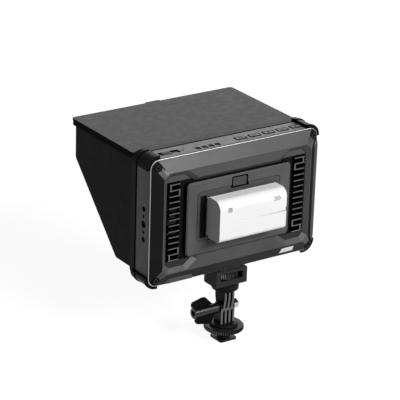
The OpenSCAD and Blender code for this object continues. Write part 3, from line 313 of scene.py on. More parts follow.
frame_low, frame_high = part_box("mid_frame")
hair = 0.01 * mm            # how near a face has to be to a level to lie on it
cut_width = 0.45 * mm       # of the bright line, drawn wider where it looks down, where it is also painted lighter as a highlight
cut_width_below = 0.9 * mm
top_wall = 2.5 * mm
windows_from_end = 12 * mm
windows_from_front = 3 * mm
windows_from_rear = 6 * mm
frame_finishes = [anodised, cut_edge, painted_shade_black, underside_highlight]


def frame_finish(face):
    """Bright on the cut line, lighter and wider where it looks down as a painted highlight, and the
    flanks of the windows in the top wall painted near black as shade.
    """
    normal = face.normal
    middle = face.calc_center_median()
    looks_down = normal.z < -0.3
    width = cut_width_below if looks_down else cut_width
    sloping = 0.4 < normal.y < 0.9 and math.hypot(normal.x, normal.z) > 0.4
    if sloping and middle.y > frame_high.y - width:
        return underside_highlight if looks_down else cut_edge
    in_top_wall = (abs(normal.z) < 0.5 and frame_high.z - top_wall < middle.z < frame_high.z - hair
                   and abs(middle.x) < frame_high.x - windows_from_end)
    in_window = (in_top_wall and frame_low.y + windows_from_front < middle.y
                 < frame_high.y - windows_from_rear)
    return painted_shade_black if in_window else anodised


side_frame = merged_copy("mid_frame")
split_across(side_frame, (0, frame_high.y - cut_width, 0), (0, 1, 0))
painted(side_frame, frame_finishes, frame_finish)
break_edges(side_frame, 0.08 * mm, segments=1, angle=50)
finished(side_frame, "side_frame", "head", frame_finishes, "mid_frame")

# ---------------------------------------------------------------- the thread inserts
# Two turned steel bushes, blackened and pressed into the frame's bosses: one for the shoe mount in
# the bottom wall, one in the left wall. Their threads show as fine turns.


def coordinate(material, axis):
    """One of the object's own coordinates, in metres."""
    place = material.node_tree.nodes.new("ShaderNodeTexCoord")
    parts = material.node_tree.nodes.new("ShaderNodeSeparateXYZ")
    material.node_tree.links.new(place.outputs["Object"], parts.inputs["Vector"])
    return parts.outputs[axis]


def maths(material, operation, first, second=0.0, third=0.0):
    """A Math node on outputs or plain numbers."""
    node = material.node_tree.nodes.new("ShaderNodeMath")
    node.operation = operation
    for slot, value in zip(node.inputs, (first, second, third)):
        if isinstance(value, (int, float)):
            slot.default_value = value
        else:
            material.node_tree.links.new(value, slot)
    return node.outputs[0]


def stripes(material, source, pitch, share, start=0.0):
    """1 on that share of every pitch along a coordinate, 0 between."""
    turn = maths(material, "DIVIDE", maths(material, "SUBTRACT", source, start), pitch)
    return maths(material, "LESS_THAN", maths(material, "FRACT", turn), share)


def between(material, source, low, high):
    """1 where a coordinate lies between two values."""
    return maths(material, "COMPARE", source, (low + high) / 2, (high - low) / 2)


def dressed(node, material):
    """Gives a node that keeps its own shape its finish."""
    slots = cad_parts[node].data.materials
    slots.clear()
    slots.append(material)


camera_pitch = 1.27 * mm    # the quarter inch camera thread has twenty turns an inch
bush_steel = grained("bush_steel", (0.10, 0.10, 0.10), 0.30, 0.2 * mm, 0.003 * mm, metallic=0.9)
bush_turns = stripes(bush_steel, maths(bush_steel, "ADD", coordinate(bush_steel, "X"),
                                       coordinate(bush_steel, "Z")), camera_pitch, 0.5)
raise_grain(bush_steel, bush_steel.node_tree.nodes["Principled BSDF"], bush_turns, 0.12 * mm, 0.8)
dressed("thread_inserts", bush_steel)

# ---------------------------------------------------------------- the screen
# A black moulded bezel round a coated cover glass. Behind it stand the display panel and its
# steel backlight tray, which the glass hides while the display is off.


def deburred(node, name, body, material, width, **edges):
    """A piece of one finish in its node's own shape, with its sharp edges broken."""
    shape = merged_copy(node)
    break_edges(shape, width, **edges)
    finished(shape, name, body, [material], node)


bezel_plastic = grained("bezel_plastic", (0.012, 0.012, 0.012), 0.38, 0.3 * mm, 0.004 * mm,
                        specular=0.3)
deburred("front_bezel", "bezel_moulding", "head", bezel_plastic, 0.35 * mm, segments=3, angle=40)

blank_side = 4 * mm         # the panel's unlit margins
blank_end = 3 * mm
panel_low, panel_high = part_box("lcd_panel")
screen_glass, glass_shader = finish("screen_glass", (0.004, 0.004, 0.005), 0.06, specular=0.5)
glass_shader.inputs["Coat Weight"].default_value = 0.6
glass_shader.inputs["Coat Roughness"].default_value = 0.04
shown = maths(screen_glass, "MULTIPLY",
              between(screen_glass, coordinate(screen_glass, "X"), panel_low.x + blank_side,
                      panel_high.x - blank_side),
              between(screen_glass, coordinate(screen_glass, "Z"), panel_low.z + blank_end,
                      panel_high.z - blank_end))
shade_between(screen_glass, glass_shader, shown, (0.002, 0.002, 0.002), (0.010, 0.011, 0.014))
wear_roughness(screen_glass, glass_shader, mottle(screen_glass, 30 * mm, 3), 0.05, 0.09)
deburred("cover_glass", "cover_pane", "head", screen_glass, 0.2 * mm, angle=40)

panel_film, film_shader = finish("panel_film", (0.03, 0.03, 0.04), 0.22, specular=0.5)
shade_between(panel_film, film_shader,
              stripes(panel_film, coordinate(panel_film, "X"), 0.6 * mm, 0.5),
              (0.020, 0.022, 0.028), (0.034, 0.034, 0.042))
raise_grain(panel_film, film_shader, mottle(panel_film, 0.4 * mm, 2), 0.004 * mm)
dressed("lcd_panel", panel_film)

tray_steel, tray_shader = finish("tray_steel", (0.55, 0.56, 0.58), 0.34, metallic=1.0)
brushing = mottle(tray_steel, 0.5 * mm, 4, (1, 1, 0.03))
shade_between(tray_steel, tray_shader, brushing, (0.48, 0.49, 0.50), (0.62, 0.63, 0.65))
raise_grain(tray_steel, tray_shader, brushing, 0.006 * mm)
dressed("backlight_tray", tray_steel)

# ---------------------------------------------------------------- the boards
# Glass-epoxy boards with green-black resist over copper tracks. The main board's black packages
# are on its screen side, the button board hangs under the five caps.


def resist_board(name):
    """Green-black resist with paler copper tracks under it."""
    track_pitch = 3.2 * mm
    material, shader = finish(name, (0.004, 0.010, 0.006), 0.36, specular=0.06)
    tracks = material.node_tree.nodes.new("ShaderNodeTexVoronoi")
    tracks.feature = "DISTANCE_TO_EDGE"
    tracks.distance = "MANHATTAN"
    tracks.inputs["Scale"].default_value = 1 / track_pitch
    place = material.node_tree.nodes.new("ShaderNodeTexCoord")
    material.node_tree.links.new(place.outputs["Object"], tracks.inputs["Vector"])
    shade_between(material, shader, tracks.outputs["Distance"], (0.006, 0.013, 0.008),
                  (0.002, 0.005, 0.003), 0.04, 0.10)
    raise_grain(material, shader, tracks.outputs["Distance"], 0.02 * mm, 0.4)
    return material


board_thick = 1.65 * mm
board_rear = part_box("main_board")[1].y
board_resist = resist_board("board_resist")
package_black = grained("package_black", (0.015, 0.015, 0.016), 0.5, 0.2 * mm, 0.004 * mm)
circuit = merged_copy("main_board")
two_toned(circuit, lambda face: face.calc_center_median().y < board_rear - board_thick)
break_edges(circuit, 0.1 * mm, segments=1, angle=50)
finished(circuit, "circuit_board", "head", [board_resist, package_black], "main_board")
dressed("button_board", resist_board("button_board_resist"))

# ---------------------------------------------------------------- the heat sink and the fan
# An extruded aluminium sink, black anodised, with thin fins, and a small fan. The fan's rotor
# turns on a steel pin in a square plastic housing with three spokes.
fin_metal, fin_shader = finish("fin_metal", (0.05, 0.05, 0.05), 0.34, metallic=1.0)
drawn = mottle(fin_metal, 0.4 * mm, 4, (0.02, 1, 1))
shade_between(fin_metal, fin_shader, drawn, (0.040, 0.040, 0.041), (0.060, 0.060, 0.061))
wear_roughness(fin_metal, fin_shader, drawn, 0.24, 0.38)
raise_grain(fin_metal, fin_shader, drawn, 0.006 * mm)
dressed("heat_sink", fin_metal)

fan_plastic = grained("fan_plastic", (0.014, 0.014, 0.014), 0.42, 0.3 * mm, 0.005 * mm,
                      specular=0.3)
deburred("fan_housing", "fan_frame", "head", fan_plastic, 0.2 * mm, angle=45)
blade_plastic = grained("blade_plastic", (0.014, 0.014, 0.015), 0.34, 0.3 * mm, 0.003 * mm,
                        specular=0.35)
deburred("fan_rotor", "fan_blades", "fan", blade_plastic, 0.12 * mm, angle=45)

# ---------------------------------------------------------------- the ports
# Pressed steel shells with black tongues and gold strips for the two display ports and the USB
# port, and black moulded sockets for power and headphones.
shell_steel, steel_shader = finish("shell_steel", (0.58, 0.58, 0.60), 0.26, metallic=1.0)
rolled = mottle(shell_steel, 0.3 * mm, 3, (0.05, 1, 1))
shade_between(shell_steel, steel_shader, rolled, (0.50, 0.50, 0.52), (0.64, 0.64, 0.66))
raise_grain(shell_steel, steel_shader, rolled, 0.004 * mm)


def tongue_finish(name, axis):
    """Black insulator with gold strips across it."""
    material, shader = finish(name, (0.01, 0.01, 0.01), 0.35, specular=0.4)
    strips = stripes(material, coordinate(material, axis), 1.0 * mm, 0.4)
    shade_between(material, shader, strips, (0.010, 0.010, 0.010), (0.75, 0.52, 0.18))
    material.node_tree.links.new(strips, shader.inputs["Metallic"])
    raise_grain(material, shader, strips, 0.03 * mm)
    return material


display_half = 7.6 * mm     # half the width of one display port
display_tongue = (0.45 * mm, 5.6 * mm, 1.5 * mm)    # half thickness, half width, set back by
display_low, display_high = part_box("hdmi_ports")


def on_display_tongue(face):
    """Whether a face is on one of the tongues that stand in the two shells."""
    half_thick, half_wide, set_back = display_tongue
    middle = face.calc_center_median()
    off_centre = min(abs(middle.z - display_high.z + display_half),
                     abs(middle.z - display_low.z - display_half))
    return (abs(middle.y - (display_low.y + display_high.y) / 2) < half_thick
            and off_centre < half_wide and middle.x < display_high.x - set_back)


display_ports = merged_copy("hdmi_ports")
two_toned(display_ports, on_display_tongue)
break_edges(display_ports, 0.06 * mm, segments=1, angle=60)
finished(display_ports, "display_port_shells", "head",
         [shell_steel, tongue_finish("display_tongue", "Z")], "hdmi_ports")

usb_tongue = (0.4 * mm, 3.4 * mm, 3.6 * mm)
usb_low, usb_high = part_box("usb_port")


def on_usb_tongue(face):
    """Whether a face is on the tongue that stands in the shell."""
    half_thick, half_wide, set_back = usb_tongue
    middle = face.calc_center_median()
    return (abs(middle.y - (usb_low.y + usb_high.y) / 2) < half_thick
            and abs(middle.x - (usb_low.x + usb_high.x) / 2) < half_wide
            and middle.z < usb_high.z - set_back)


usb_shell = merged_copy("usb_port")
two_toned(usb_shell, on_usb_tongue)
break_edges(usb_shell, 0.06 * mm, segments=1, angle=60)
finished(usb_shell, "usb_shell", "head", [shell_steel, tongue_finish("usb_tongue", "X")],
         "usb_port")

socket_plastic = grained("socket_plastic", (0.012, 0.012, 0.012), 0.40, 0.3 * mm, 0.004 * mm,
                         specular=0.3)
pin_radius = 1.05 * mm
pin_set_back = 5.3 * mm
dc_low, dc_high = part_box("dc_jack")


def on_dc_pin(face):
    """Whether a face is on the steel pin in the middle of the socket."""
    middle = face.calc_center_median()
    from_axis = math.hypot(middle.x - (dc_low.x + dc_high.x) / 2,
                           middle.y - (dc_low.y + dc_high.y) / 2)
    return from_axis < pin_radius and middle.z < dc_high.z - pin_set_back


power_socket = merged_copy("dc_jack")
two_toned(power_socket, on_dc_pin)
break_edges(power_socket, 0.12 * mm, segments=1, angle=50)
finished(power_socket, "power_socket", "head", [socket_plastic, shell_steel], "dc_jack")
deburred("headphone_jack", "headphone_socket", "head", socket_plastic, 0.12 * mm, segments=1,
         angle=50)

# ---------------------------------------------------------------- the function buttons
# Five anodised caps stand a little proud of the top wall, each with a chamfered edge and an inked
# sign of its own. The chamfer, a ring round the top and the flanks are painted black as shade. A
# flange under the wall keeps each cap in.
cap_metal = grained("cap_metal", (0.026, 0.026, 0.027), 0.38, 0.16 * mm, 0.005 * mm, metallic=1.0)
# print ink for the signs, and also painted shade on the caps' and the switch knob's flanks
ink_and_painted_shade = grained("ink_and_painted_shade", (0.004, 0.004, 0.004), 0.6, 0.2 * mm, 0.002 * mm, specular=0.0)
cap_corner = math.radians(30)    # edges of the cap's top sharper than this are chamfered
cap_chamfer = 0.4 * mm
cap_ring = 0.7 * mm
cap_dish = 0.02 * mm
sign_sunk = 0.03 * mm


def inked(shape, mark, place, thick=0.04 * mm):
    """Adds a thin inked mark on a level face. A mark is its corners, radius, turn and stretch."""
    segments, radius, turn, (wide, deep) = mark
    made = bmesh.ops.create_circle(shape, cap_ends=True, segments=segments, radius=radius)
    corners = made["verts"]
    bmesh.ops.rotate(shape, verts=corners, cent=(0, 0, 0), matrix=Matrix.Rotation(turn, 3, "Z"))
    bmesh.ops.scale(shape, verts=corners, vec=(wide, deep, 1))
    bmesh.ops.translate(shape, verts=corners, vec=place)
    base = [f for f in shape.faces if all(v in corners for v in f.verts)]
    top = bmesh.ops.extrude_face_region(shape, geom=base, use_keep_orig=True)
    raised = [g for g in top["geom"] if isinstance(g, bmesh.types.BMVert)]
    bmesh.ops.translate(shape, verts=raised, vec=(0, 0, thick))


quarter = math.pi / 4
post = (4, 1.0 * mm, quarter, (0.5, 1.5))
thin_post = (4, 1.0 * mm, quarter, (0.4, 1.5))
beam = (4, 1.0 * mm, quarter, (2.3, 0.45))
dot = (24, 1.2 * mm, 0, (1, 1))
arrow_back = (3, 1.4 * mm, math.pi, (1, 1))
arrow_on = (3, 1.4 * mm, 0, (1, 1))
# for each button, its marks with their places to the right of the cap's middle and behind it
signs = {
    1: [(post, -1.6, 0), (post, 0, 0), (post, 1.6, 0)],
    2: [(arrow_back, 0.5, 0), (thin_post, -1.6, 0)],
    3: [(dot, 0, 0)],
    4: [(arrow_on, -0.5, 0), (thin_post, 1.6, 0)],
    5: [(beam, 0, 0.9), (beam, 0, -0.9)],
}
for number, marks in signs.items():
    node = "function_button_%d" % number
    body = "button_%d" % number
    low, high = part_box(node)
    cap = merged_copy(node)
    upper = [e for e in cap.edges if all(v.co.z > high.z - hair for v in e.verts)
             and len(e.link_faces) == 2 and e.calc_face_angle() > cap_corner]
    bmesh.ops.bevel(cap, geom=upper, offset=cap_chamfer, offset_type="OFFSET", segments=1,
                    profile=0.5, affect="EDGES", clamp_overlap=True, material=-1)
    cap_top = [f for f in cap.faces if f.normal.z > 0.9
               and f.calc_center_median().z > high.z - hair]
    bmesh.ops.inset_region(cap, faces=cap_top, thickness=cap_ring, depth=-cap_dish)
    # the chamfer, the ring round the top and the flanks are painted black as shade
    two_toned(cap, lambda face: face not in cap_top)
    finished(cap, "button_cap_%d" % number, body, [cap_metal, ink_and_painted_shade], node)
    sign = bmesh.new()
    for mark, right_by, back_by in marks:
        inked(sign, mark, ((low.x + high.x) / 2 - right_by * mm,
                           (low.y + high.y) / 2 - back_by * mm, high.z - sign_sunk))
    bmesh.ops.recalc_face_normals(sign, faces=sign.faces)
    finished(sign, "button_sign_%d" % number, body, [ink_and_painted_shade])

# ---------------------------------------------------------------- the power switch
# A ribbed knob slides in a shallow recess, whose flanks are painted near black as shade, and drives
# a moulded switch under the wall. A dot and a bar beside it show its two ends.
knob_metal = grained("knob_metal", (0.030, 0.030, 0.031), 0.34, 0.16 * mm, 0.005 * mm, metallic=1.0)
slide = merged_copy("power_switch")
# the knob's flanks are painted black as shade, its top keeps the metal
two_toned(slide, lambda face: face.normal.z <= 0.9)
break_edges(slide, 0.08 * mm, segments=1, angle=45)
finished(slide, "switch_knob", "switch", [knob_metal, ink_and_painted_shade], "power_switch")

on_bar = (4, 1.0 * mm, quarter, (0.5, 2.4))
on_bar_place = (51.2 * mm, 3.4 * mm)    # from the middle of the top wall, from the knob's front
off_dot = (20, 0.8 * mm, 0, (1, 1))
off_dot_place = (48.6 * mm, 1.6 * mm)
slide_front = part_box("power_switch")[0].y
switch_signs = bmesh.new()
for mark, (across, behind) in ((on_bar, on_bar_place), (off_dot, off_dot_place)):
    inked(switch_signs, mark, (across, slide_front + behind, frame_high.z - hair))
bmesh.ops.recalc_face_normals(switch_signs, faces=switch_signs.faces)
finished(switch_signs, "switch_signs", "head", [ink_and_painted_shade])
deburred("switch_body", "switch_case", "head", socket_plastic, 0.15 * mm, segments=1, angle=45)

# ---------------------------------------------------------------- the indicator windows
# Four small smoked windows with thin flanges are glued into the top wall, over lamps that are off.
# Each has a highlight painted pale on one corner.
lens_pitch = 6.87 * mm
lens_lift = 0.29 * mm
lens_deepening = 1.8
corner_slant = 1.4
corner_start = 8.3 * mm
lens_low, lens_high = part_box("indicator_lenses")
lens_smoke, lens_shader = finish("lens_smoke", (0.002, 0.002, 0.002), 0.12, specular=0.004)
along_row = maths(lens_smoke, "SUBTRACT", coordinate(lens_smoke, "X"), lens_low.x)
along_lens = maths(lens_smoke, "MODULO", along_row, lens_pitch)
across_lens = maths(lens_smoke, "SUBTRACT", coordinate(lens_smoke, "Y"), lens_low.y)
slanting = maths(lens_smoke, "ADD", along_lens,
                 maths(lens_smoke, "MULTIPLY", across_lens, corner_slant))
# a pale corner painted on each window as a highlight
painted_highlight_corner = maths(lens_smoke, "GREATER_THAN", slanting, corner_start)
shade_between(lens_smoke, lens_shader, painted_highlight_corner, (0.002, 0.002, 0.002), (0.10, 0.10, 0.10))
wear_roughness(lens_smoke, lens_shader, mottle(lens_smoke, 2 * mm, 2), 0.10, 0.16)
lenses = merged_copy("indicator_lenses")
lens_tops = [v for v in lenses.verts if v.co.z > lens_high.z - hair]
bmesh.ops.scale(lenses, verts=lens_tops, vec=(1, lens_deepening, 1),
                space=Matrix.Translation((0, -(lens_low.y + lens_high.y) / 2, 0)))
bmesh.ops.translate(lenses, verts=lens_tops, vec=(0, 0, lens_lift))
break_edges(lenses, 0.12 * mm, angle=45)
finished(lenses, "indicator_windows", "head", [lens_smoke], "indicator_lenses")

# ---------------------------------------------------------------- the rear cover
# One moulding of black plastic with a spark-eroded grain. The sloping border, the two vent
# pockets and the well round the battery deck are parts of the mould, with rounded rims.
cover_plastic = grained("cover_plastic", (0.066, 0.066, 0.067), 0.36, 0.3 * mm, 0.012 * mm,
                        specular=0.14)
# near black, painted as shade in pockets, seams, upright walls and recesses of the cover, deck,
# plate and release cap
cover_shade = grained("cover_shade", (0.006, 0.006, 0.006), 0.55, 0.3 * mm, 0.008 * mm,
                      specular=0.03)
# the border's slopes and corner facets are copies of the cover plastic painted lighter or darker,
# as light and shade by the way each faces
upper_slope_painted_sheen = grained("upper_slope_painted_sheen", (0.040, 0.040, 0.041), 0.32, 0.3 * mm, 0.012 * mm,
                       specular=0.24)
lower_slope_painted_shade = grained("lower_slope_painted_shade", (0.033, 0.033, 0.034), 0.45, 0.3 * mm, 0.012 * mm,
                       specular=0.02)
side_slope_painted_shade = grained("side_slope_painted_shade", (0.016, 0.016, 0.016), 0.45, 0.3 * mm, 0.012 * mm,
                      specular=0.0)
corner_facet_painted_highlight = grained("corner_facet_painted_highlight", (0.10, 0.10, 0.10), 0.34, 0.3 * mm, 0.012 * mm,
                        specular=0.24)
cover_finishes = [cover_plastic, cover_shade, upper_slope_painted_sheen, lower_slope_painted_shade, side_slope_painted_shade,
                  corner_facet_painted_highlight]
cover_half_wide = 89.2 * mm
cover_half_high = 59.2 * mm
cover_middle = Vector((0, 0, (frame_low.z + frame_high.z) / 2))
border_start = 1 * mm       # how far the border's slopes stand behind the frame
border_end = 5.5 * mm
floor_depth = 3 * mm        # the pockets' floors stand nearer the frame than this
seam_depth = 0.4 * mm
pocket_side = 10.5 * mm     # from the frame's side to the far wall of a pocket
floor_end = 79 * mm         # places of the floors' ends and of the slopes, from the middle
level_slopes = 50 * mm
side_slopes = 80 * mm
vent_low, vent_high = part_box("vent_grille_left")
vent_margin = 0.5 * mm
bars_low, bars_high = vent_low.z - vent_margin, vent_high.z + vent_margin


def cover_finish(face):
    """Pockets, floors and the seam along the frame are painted near black as shade, and each slope
    of the border is a lighter or darker copy of the plastic, painted as light and shade.
    """
    normal = face.normal
    place = face.calc_center_median()
    middle = place - cover_middle
    depth = middle.y - frame_high.y
    upright = abs(normal.y) < 0.3
    in_pocket = upright and abs(middle.x) > frame_high.x - pocket_side and depth < border_end
    if depth < seam_depth or in_pocket:
        return cover_shade
    if normal.y > 0.9 and depth < floor_depth:
        if bars_low < place.z < bars_high or abs(middle.x) > floor_end:
            return cover_shade
        if place.z < bars_low:
            return lower_slope_painted_shade
    if 0.6 < normal.y < 0.95 and border_start < depth < border_end:
        if abs(normal.x) < 0.2 and normal.z > 0.3 and middle.z > level_slopes:
            return upper_slope_painted_sheen
        if abs(normal.x) < 0.2 and normal.z < -0.3 and middle.z < -level_slopes:
            return lower_slope_painted_shade
        if abs(normal.x) > 0.35 and abs(normal.z) < 0.2 and abs(middle.x) > side_slopes:
            return side_slope_painted_shade
        if normal.x > 0.2 and normal.z > 0.2:
            return corner_facet_painted_highlight
    return cover_plastic


cover = merged_copy("rear_cover")
for bars_end in (bars_low, bars_high):
    split_across(cover, (0, 0, bars_end), (0, 0, 1))
painted(cover, cover_finishes, cover_finish)
# the rim is drawn in, so that the bright line of the frame shows beside it
rim_inset = 0.35 * mm
rim_band = 3.2 * mm
rim_front, rim_rear = -0.05 * mm, 0.32 * mm
rim = [v for v in cover.verts if rim_front < v.co.y - frame_high.y < rim_rear
       and (abs(v.co.x) > cover_half_wide - rim_band
            or abs(v.co.z - cover_middle.z) > cover_half_high - rim_band)]
bmesh.ops.scale(cover, verts=rim, space=Matrix.Translation(-cover_middle),
                vec=(1 - rim_inset / cover_half_wide, 1, 1 - rim_inset / cover_half_high))
break_edges(cover, 0.45 * mm, segments=3, angle=16, shortest=0.8 * mm)
finished(cover, "cover_moulding", "head", cover_finishes, "rear_cover", smooth=40)

# ---------------------------------------------------------------- the battery deck and plate
# The raised deck is a second moulding, a shade lighter. A glass-filled plate with four hooks and
# a deep recess is let into it and carries the battery.
deck_plastic = grained("deck_plastic", (0.078, 0.078, 0.079), 0.42, 0.3 * mm, 0.012 * mm,
                       specular=0.14)
deck_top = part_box("battery_deck")[1].y
deck_shoulder = 0.5 * mm
deck = merged_copy("battery_deck")
break_edges(deck, 0.35 * mm, segments=3, angle=25)
# upright walls, outside and round the plate and the button, are painted near black as shade
two_toned(deck, lambda face: abs(face.normal.y) < 0.4
          and face.calc_center_median().y < deck_top - deck_shoulder)
finished(deck, "deck_moulding", "head", [deck_plastic, cover_shade], "battery_deck")

plate_plastic = grained("plate_plastic", (0.058, 0.058, 0.059), 0.45, 0.3 * mm, 0.010 * mm,
                        specular=0.14)
recess_depth = 1.5 * mm
plate = merged_copy("battery_plate")
break_edges(plate, 0.15 * mm)
# the faces sunk in the recess are painted near black as shade
two_toned(plate, lambda face: face.calc_center_median().y < deck_top - recess_depth)
finished(plate, "plate_moulding", "head", [plate_plastic, cover_shade], "battery_plate")

# The contact block stands at the plate's end: black plastic with three gilt blades.
gilt = grained("gilt_blade", (0.80, 0.56, 0.20), 0.24, 0.2 * mm, 0.002 * mm, metallic=1.0)
block_thick = 2.85 * mm
blades_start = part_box("battery_contacts")[0].x + block_thick
contacts = merged_copy("battery_contacts")
two_toned(contacts, lambda face: face.calc_center_median().x > blades_start)
break_edges(contacts, 0.08 * mm, segments=1, angle=50)
finished(contacts, "contact_block", "head", [socket_plastic, gilt], "battery_contacts")

# ---------------------------------------------------------------- the vent grilles
# Two moulded grilles of fourteen thin bars on low rails, pressed into the cover's openings. The
# bars' tops keep the grille's grey, and all their other faces are painted near black as shade.
vent_plastic = grained("vent_plastic", (0.105, 0.105, 0.106), 0.40, 0.3 * mm, 0.006 * mm,
                       specular=0.25)
vent_shade = grained("vent_shade", (0.003, 0.003, 0.003), 0.55, 0.3 * mm, 0.006 * mm, specular=0.0)
for side in ("left", "right"):
    node = "vent_grille_" + side
    bar_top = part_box(node)[1].y
    vent = merged_copy(node)
    # every face below the bars' tops is painted near black as shade
    two_toned(vent, lambda face: face.calc_center_median().y <= bar_top - hair)
    break_edges(vent, 0.12 * mm)
    finished(vent, "vent_bars_" + side, "head", [vent_plastic, vent_shade], node)

# ---------------------------------------------------------------- the release button
# A small moulded cap, slightly tapered, that stands in a deep slot of the deck. It slides on a
# round moulded guide.
release_plastic = grained("release_plastic", (0.052, 0.052, 0.053), 0.38, 0.3 * mm, 0.010 * mm,
                          specular=0.16)
release_low, release_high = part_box("release_button")
cap_depth = 1.8 * mm
cap_top_skin = 0.5 * mm
cap_taper = (0.94, 1, 0.90)
bore_reach = 4 * mm         # the bore for the guide lies within this of the middle
flange_reach = 1.3 * mm     # the flange at the root reaches this much higher than the cap
release = merged_copy("release_button")
release_top = [v for v in release.verts if v.co.y > release_high.y - cap_depth
               and abs(v.co.x) > bore_reach]
release_middle = (release_low.z + release_high.z - flange_reach) / 2
bmesh.ops.scale(release, verts=release_top, vec=cap_taper,
                space=Matrix.Translation((0, 0, -release_middle)))
break_edges(release, 0.3 * mm, segments=3)
# the cap's flanks and the flange below its top are painted near black as shade
two_toned(release, lambda face: face.normal.y <= 0.5
          or face.calc_center_median().y <= release_high.y - cap_top_skin)
finished(release, "release_cap", "release", [release_plastic, cover_shade], "release_button")
dressed("release_guide", socket_plastic)

# ---------------------------------------------------------------- cover screws and bare plate
# Four hex socket screws of blackened steel sit deep in round pockets. The small plate on the
# lower slope is a bare white one.
black_steel = grained("black_steel", (0.016, 0.016, 0.016), 0.30, 0.2 * mm, 0.004 * mm,
                      metallic=0.2, specular=0.10)
screws_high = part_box("cover_screws")[1]
head_radius = 2.7 * mm
socket_radius = 1.3 * mm
socket_depth = 0.5 * mm


def in_screw_socket(face):
    """Whether a face is in a hexagon socket or lies below the screw's head."""
    middle = face.calc_center_median() - cover_middle
    from_axis = math.hypot(abs(middle.x) - (screws_high.x - head_radius),
                           abs(middle.z) - (screws_high.z - cover_middle.z - head_radius))
    in_socket = from_axis < socket_radius and face.normal.y < 0.99
    sunk = face.normal.y > 0.9 and middle.y < screws_high.y - socket_depth
    return in_socket or sunk


screws = merged_copy("cover_screws")
# the sockets and the faces below the heads' tops are painted near black as shade
two_toned(screws, in_screw_socket)
break_edges(screws, 0.45 * mm, segments=3, angle=60, shortest=0.3 * mm)
finished(screws, "corner_screws", "head", [black_steel, painted_shade_black], "cover_screws")

plate_white = grained("plate_white", (0.90, 0.90, 0.88), 0.45, 0.4 * mm, 0.003 * mm, cloud=0.03)
deburred("label_plate", "bare_plate", "head", plate_white, 0.05 * mm, segments=1)

# ---------------------------------------------------------------- the battery
# A white moulded case with a fine groove and a finger notch, over a base with hook channels. Three
# grey arrows printed on it show the way it slides on, and a striped square its contact side.
case_white, printed_white = [grained(name, (0.80, 0.80, 0.80), 0.34, 0.25 * mm, 0.004 * mm,
                                     cloud=0.012) for name in ("case_white", "printed_white")]
# a little grey, painted as shade in the battery's groove
groove_painted_shade = grained("groove_painted_shade", (0.74, 0.74, 0.74), 0.4, 0.25 * mm, 0.003 * mm, cloud=0.02)
arrows_height = 145.15 * mm
arrows_half = 2.15 * mm
arrows_start, arrows_end = -31 * mm, -24.2 * mm
arrow_pitch, arrow_share = 2.3 * mm, 0.45
square_left, square_right = 21.4 * mm, 26 * mm
square_low, square_high = 142 * mm, 146.4 * mm
square_pitch, square_share = 1.1 * mm, 0.6
print_grey = (0.10, 0.10, 0.10, 1)
across = coordinate(printed_white, "X")
upward = coordinate(printed_white, "Z")
from_middle = maths(printed_white, "ABSOLUTE",
                    maths(printed_white, "SUBTRACT", upward, arrows_height))
slant = maths(printed_white, "SUBTRACT", across, from_middle)
arrows = maths(printed_white, "MULTIPLY",
               maths(printed_white, "LESS_THAN", from_middle, arrows_half),
               maths(printed_white, "MULTIPLY",
                     between(printed_white, slant, arrows_start, arrows_end),
                     stripes(printed_white, slant, arrow_pitch, arrow_share, arrows_start)))
square = maths(printed_white, "MULTIPLY",
               between(printed_white, across, square_left, square_right),
               maths(printed_white, "MULTIPLY",
                     between(printed_white, upward, square_low, square_high),
                     stripes(printed_white, upward, square_pitch, square_share, square_low)))
printed_tree = printed_white.node_tree
printed_colour = printed_tree.nodes["Principled BSDF"].inputs["Base Color"]
case_colour = printed_colour.links[0].from_socket
mark_mix = printed_tree.nodes.new("ShaderNodeMix")
mark_mix.data_type = "RGBA"
mark_mix.inputs["B"].default_value = print_grey
printed_tree.links.new(maths(printed_white, "MAXIMUM", arrows, square), mark_mix.inputs["Factor"])
printed_tree.links.new(case_colour, mark_mix.inputs["A"])
printed_tree.links.new(mark_mix.outputs["Result"], printed_colour)

case_finishes = [case_white, printed_white, groove_painted_shade]
case_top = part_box("battery_shell")[1].y
groove_height = 131.6 * mm
groove_half = 0.6 * mm
groove_depth = 0.4 * mm
groove_start = 0.02 * mm
printed_depth = 9 * mm


def case_finish(face):
    """Print on the outside, and the groove along it painted a little grey as shade."""
    middle = face.calc_center_median()
    if (case_top - groove_depth < middle.y < case_top - groove_start
            and abs(middle.z - groove_height) < groove_half):
        return groove_painted_shade
    outside = face.normal.y > 0.1 and middle.y > case_top - printed_depth
    return printed_white if outside else case_white


shell = merged_copy("battery_shell")
painted(shell, case_finishes, case_finish)
break_edges(shell, 0.5 * mm, segments=3, angle=50, shortest=3 * mm)
finished(shell, "battery_case", "battery", case_finishes, "battery_shell")
deburred("battery_base", "battery_foot", "battery", case_white, 0.2 * mm)

# Inside lie two round cells in blue shrink film, over a small protection board.
cell_film, cell_shader = finish("cell_film", (0.05, 0.24, 0.36), 0.30, specular=0.5)
wrinkles = mottle(cell_film, 4 * mm, 4, (0.15, 1, 1))
shade_between(cell_film, cell_shader, wrinkles, (0.04, 0.20, 0.31), (0.07, 0.28, 0.41))
raise_grain(cell_film, cell_shader, wrinkles, 0.05 * mm, 0.5)
deburred("battery_cells", "wrapped_cells", "battery", cell_film, 0.6 * mm, segments=3, angle=50)
dressed("battery_board", resist_board("protection_board_resist"))

# ---------------------------------------------------------------- the sun hood
# Three stiff leaves of black board with a matt coat and a dull lining, hinged on steel pins to a
# moulded ring that grips the monitor with four corner clips.
hood_coat = grained("hood_coat", (0.022, 0.022, 0.023), 0.55, 0.35 * mm, 0.012 * mm, specular=0.19)
lining = grained("hood_lining", (0.006, 0.006, 0.006), 0.9, 0.5 * mm, 0.03 * mm, specular=0.05)
pin_steel = grained("pin_steel", (0.55, 0.55, 0.56), 0.24, 0.2 * mm, 0.002 * mm, metallic=1.0)
